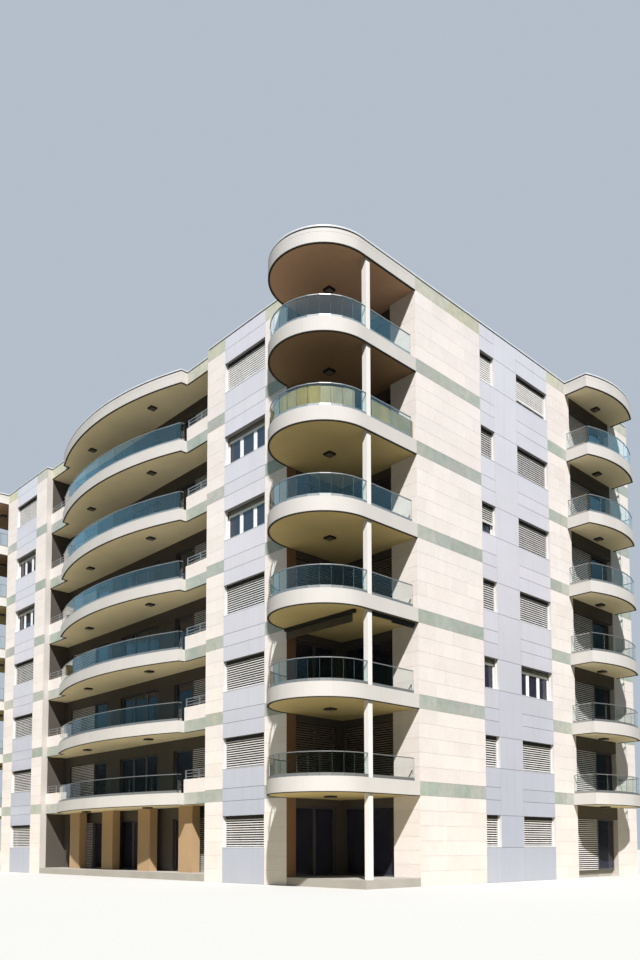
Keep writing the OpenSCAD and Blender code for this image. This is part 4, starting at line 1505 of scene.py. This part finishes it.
class Awnings(bpy.types.Operator):
    """Hang the rolled awnings of one corner balcony: cases under the ceiling, and the cloth's hanging edge"""

    bl_idname = "block.awnings"
    bl_label = "Awnings"

    def execute(self, context):
        deck = context.scene.block_balconies
        top = CEILINGS[AWNING_STOREY] - deck.soffit_depth
        bottom = top - deck.awning_case
        front_y = FRONT_Y - deck.awning_case
        end_x = HALF_W - 2 * deck.drip
        cases = Shapes()
        cases.block((JAMB_X + deck.drip, front_y - deck.awning_case / 2, bottom),
                    (HALF_W - deck.awning_end, front_y + deck.awning_case / 2, top))
        cases.block((end_x - deck.awning_case, RECESS_Y - COLUMN_RUN + deck.awning_case, bottom),
                    (end_x, RECESS_Y - deck.drip, top))
        cases.block((end_x - deck.awning_case, RECESS_Y - COLUMN_RUN / 2, bottom - deck.awning_case / 2),
                    (end_x - deck.awning_case / 2, RECESS_Y - deck.drip, bottom))
        cases.piece("awning_cases", "dark_metal", "rail_metal")
        ends = (JAMB_X + 2 * deck.drip, HALF_W - deck.awning_end - deck.awning_case)
        self.cloth(deck, ends, front_y, bottom)
        return {"FINISHED"}

    def cloth(self, deck, ends, y, top):
        """The hanging edge of the cloth: a thin sheet with soft waves along it."""
        width = ends[1] - ends[0]
        drop = deck.awning_drop
        columns, rows = CLOTH_COLUMNS, CLOTH_ROWS
        half = deck.cloth_t / 2
        points, faces = [], []
        for face_y in (y - half, y + half):
            for row in range(rows + 1):
                for column in range(columns + 1):
                    along = column / columns
                    down = row / rows
                    wave = deck.cloth_wave * down * math.sin(along * math.pi * CLOTH_WAVES)
                    points.append((ends[0] + width * along, face_y + wave, top - drop * down))
        stride = columns + 1
        sheet = stride * (rows + 1)
        for row in range(rows):
            for column in range(columns):
                a = row * stride + column
                quad = (a, a + 1, a + 1 + stride, a + stride)
                faces.append(quad)
                faces.append(tuple(sheet + i for i in reversed(quad)))
        rim = list(range(stride))
        rim += [row * stride + columns for row in range(1, rows + 1)]
        rim += [rows * stride + column for column in range(columns - 1, -1, -1)]
        rim += [row * stride for row in range(rows - 1, 0, -1)]
        for a, b in zip(rim, rim[1:] + rim[:1]):
            faces.append((b, a, sheet + a, sheet + b))
        shapes = Shapes()
        shapes.add(points, faces)
        valance = shapes.piece("awning_cloth", "awning", "brown_stone")
        for polygon in valance.data.polygons:
            polygon.use_smooth = True


# Camera of the photograph, and the direction that its light comes from
EYE = (35.435, -28.534, 1.422)
PITCH = 3.8937
YAW = 136.5409
ROLL = -0.1147
SENSOR = 36.0
LENS = 31.3235
SHIFT_Y = 0.3222
CLIP_END = 1000.0
KEY_LIGHT_FROM = (1.218, -1.0, 1.76)

# Sines of the heights between which the horizon turns into sky, as reflected and as fill light
GLOSS_RISE = (0.17, 0.40)
FILL_RISE = (0.1, 0.7)

# Sides of the studio floor, and distances from the building's middle between which it throws up less light
FLOOR_SIDES = 96
BOUNCE_REACH = (21.0, 33.0)

# How much higher the reflected horizon stands to the right than to the left
GLOSS_LEAN = 0.10

# Way to the backdrop, and the cosines between which a reflection turns into that of the backdrop
BACKDROP_WAY = (-0.73, 0.68, 0.0)
BACKDROP_RISE = (0.5, 0.75)


class Stage(bpy.types.Operator):
    """Set up the pale floor, the soft lights and the camera"""

    bl_idname = "block.stage"
    bl_label = "Stage"

    def execute(self, context):
        stage = context.scene.block_stage
        self.floor(stage)
        self.lights(stage)
        self.camera()
        return {"FINISHED"}

    def floor(self, stage):
        shapes = Shapes()
        rim = arc((0, 0), stage.floor_radius, 0, 2 * math.pi, FLOOR_SIDES)[:-1]
        shapes.add([(x, y, 0) for x, y in rim], [tuple(range(len(rim)))])
        mesh = shapes.mesh("studio_floor")
        paint = Look("Studio floor", roughness=0.9)
        seen = paint.add("ShaderNodeLightPath").outputs["Is Camera Ray"]
        away = paint.add("ShaderNodeVectorMath", {0: paint.place}, operation="LENGTH").outputs["Value"]
        bounce = paint.mix(paint.spread(away, *BOUNCE_REACH), rgba(stage.bounce), rgba(stage.far_bounce))
        mesh.materials.append(paint.paint(paint.mix(seen, bounce, rgba(stage.ground))))
        floor = bpy.data.objects.new("studio_floor", mesh)
        bpy.context.scene.collection.objects.link(floor)

    def lights(self, stage):
        world = bpy.data.worlds.new("Studio")
        world.use_nodes = True
        nodes = Nodes(world.node_tree)
        path = nodes.add("ShaderNodeLightPath").outputs
        way = nodes.add("ShaderNodeTexCoord").outputs["Generated"]
        axes = nodes.add("ShaderNodeSeparateXYZ", {"Vector": way}).outputs
        clear = nodes.math("SUBTRACT", axes["Z"], nodes.math("MULTIPLY", axes["X"], GLOSS_LEAN))
        gloss = nodes.mix(nodes.spread(clear, *GLOSS_RISE), rgba(stage.low_gloss),
                          rgba(stage.gloss, stage.gloss_strength))
        fill = nodes.mix(nodes.spread(axes["Z"], *FILL_RISE), rgba(stage.low_fill),
                         rgba(stage.sky, stage.sky_strength))
        behind = nodes.add("ShaderNodeVectorMath", {0: way, 1: BACKDROP_WAY}, operation="DOT_PRODUCT")
        gloss = nodes.mix(nodes.spread(behind.outputs["Value"], *BACKDROP_RISE), gloss, rgba(stage.backdrop))
        sky = nodes.mix(path["Is Glossy Ray"], fill, gloss)
        sky = nodes.mix(path["Is Camera Ray"], sky, rgba(stage.backdrop))
        nodes.feed(world.node_tree.nodes["Background"].inputs["Color"], sky)
        bpy.context.scene.world = world
        bpy.context.scene.view_settings.view_transform = "Standard"
        light = bpy.data.lights.new("Key light", "SUN")
        light.energy = stage.sun_strength
        light.angle = stage.sun_softness
        light.color = stage.sun_color
        key = bpy.data.objects.new("Key light", light)
        key.rotation_euler = Vector(KEY_LIGHT_FROM).to_track_quat("Z", "Y").to_euler()
        bpy.context.scene.collection.objects.link(key)

    def camera(self):
        data = bpy.data.cameras.new("Camera")
        data.sensor_width = SENSOR
        data.lens = LENS
        data.shift_y = SHIFT_Y
        data.clip_end = CLIP_END
        pitch, yaw, roll = (math.radians(angle) for angle in (PITCH, YAW, ROLL))
        forward = Vector((math.cos(pitch) * math.cos(yaw), math.cos(pitch) * math.sin(yaw), math.sin(pitch)))
        level = forward.cross(UP).normalized()
        above = level.cross(forward)
        right = level * math.cos(roll) + above * math.sin(roll)
        top = above * math.cos(roll) - level * math.sin(roll)
        rows = Matrix((right, top, -forward)).transposed()
        camera = bpy.data.objects.new("Camera", data)
        camera.matrix_world = Matrix.Translation(Vector(EYE)) @ rows.to_4x4()
        bpy.context.scene.collection.objects.link(camera)
        bpy.context.scene.camera = camera


OPERATORS = (CoatStructure, StoneCladding, RoofFelt, BrownJambs, WallPanels, Windows, RollerShutters,
             BalconyEdges, CeilingLamps, Doors, GlassJoints, RoundScreens, Awnings, Stage)


class BlockPanel(bpy.types.Panel):
    """Lists the pieces of the apartment block and their sizes"""

    bl_idname = "VIEW3D_PT_apartment_block"
    bl_label = "Apartment Block"
    bl_space_type = "VIEW_3D"
    bl_region_type = "UI"
    bl_category = "Apartment Block"

    def draw(self, context):
        for operator in OPERATORS:
            self.layout.operator(operator.bl_idname)
        for name, group in SETTINGS.items():
            box = self.layout.box()
            for label in group.__annotations__:
                box.prop(getattr(context.scene, name), label)


def register():
    for group in SETTINGS.values():
        bpy.utils.register_class(group)
    for item in OPERATORS + (BlockPanel,):
        bpy.utils.register_class(item)
    for name, group in SETTINGS.items():
        setattr(bpy.types.Scene, name, PointerProperty(type=group))


def unregister():
    for name in SETTINGS:
        delattr(bpy.types.Scene, name)
    for item in reversed(OPERATORS + (BlockPanel,)):
        bpy.utils.unregister_class(item)
    for group in reversed(list(SETTINGS.values())):
        bpy.utils.unregister_class(group)


def main():
    register()
    for operator in OPERATORS:
        family, name = operator.bl_idname.split(".")
        getattr(getattr(bpy.ops, family), name)()


if __name__ == "__main__":
    main()
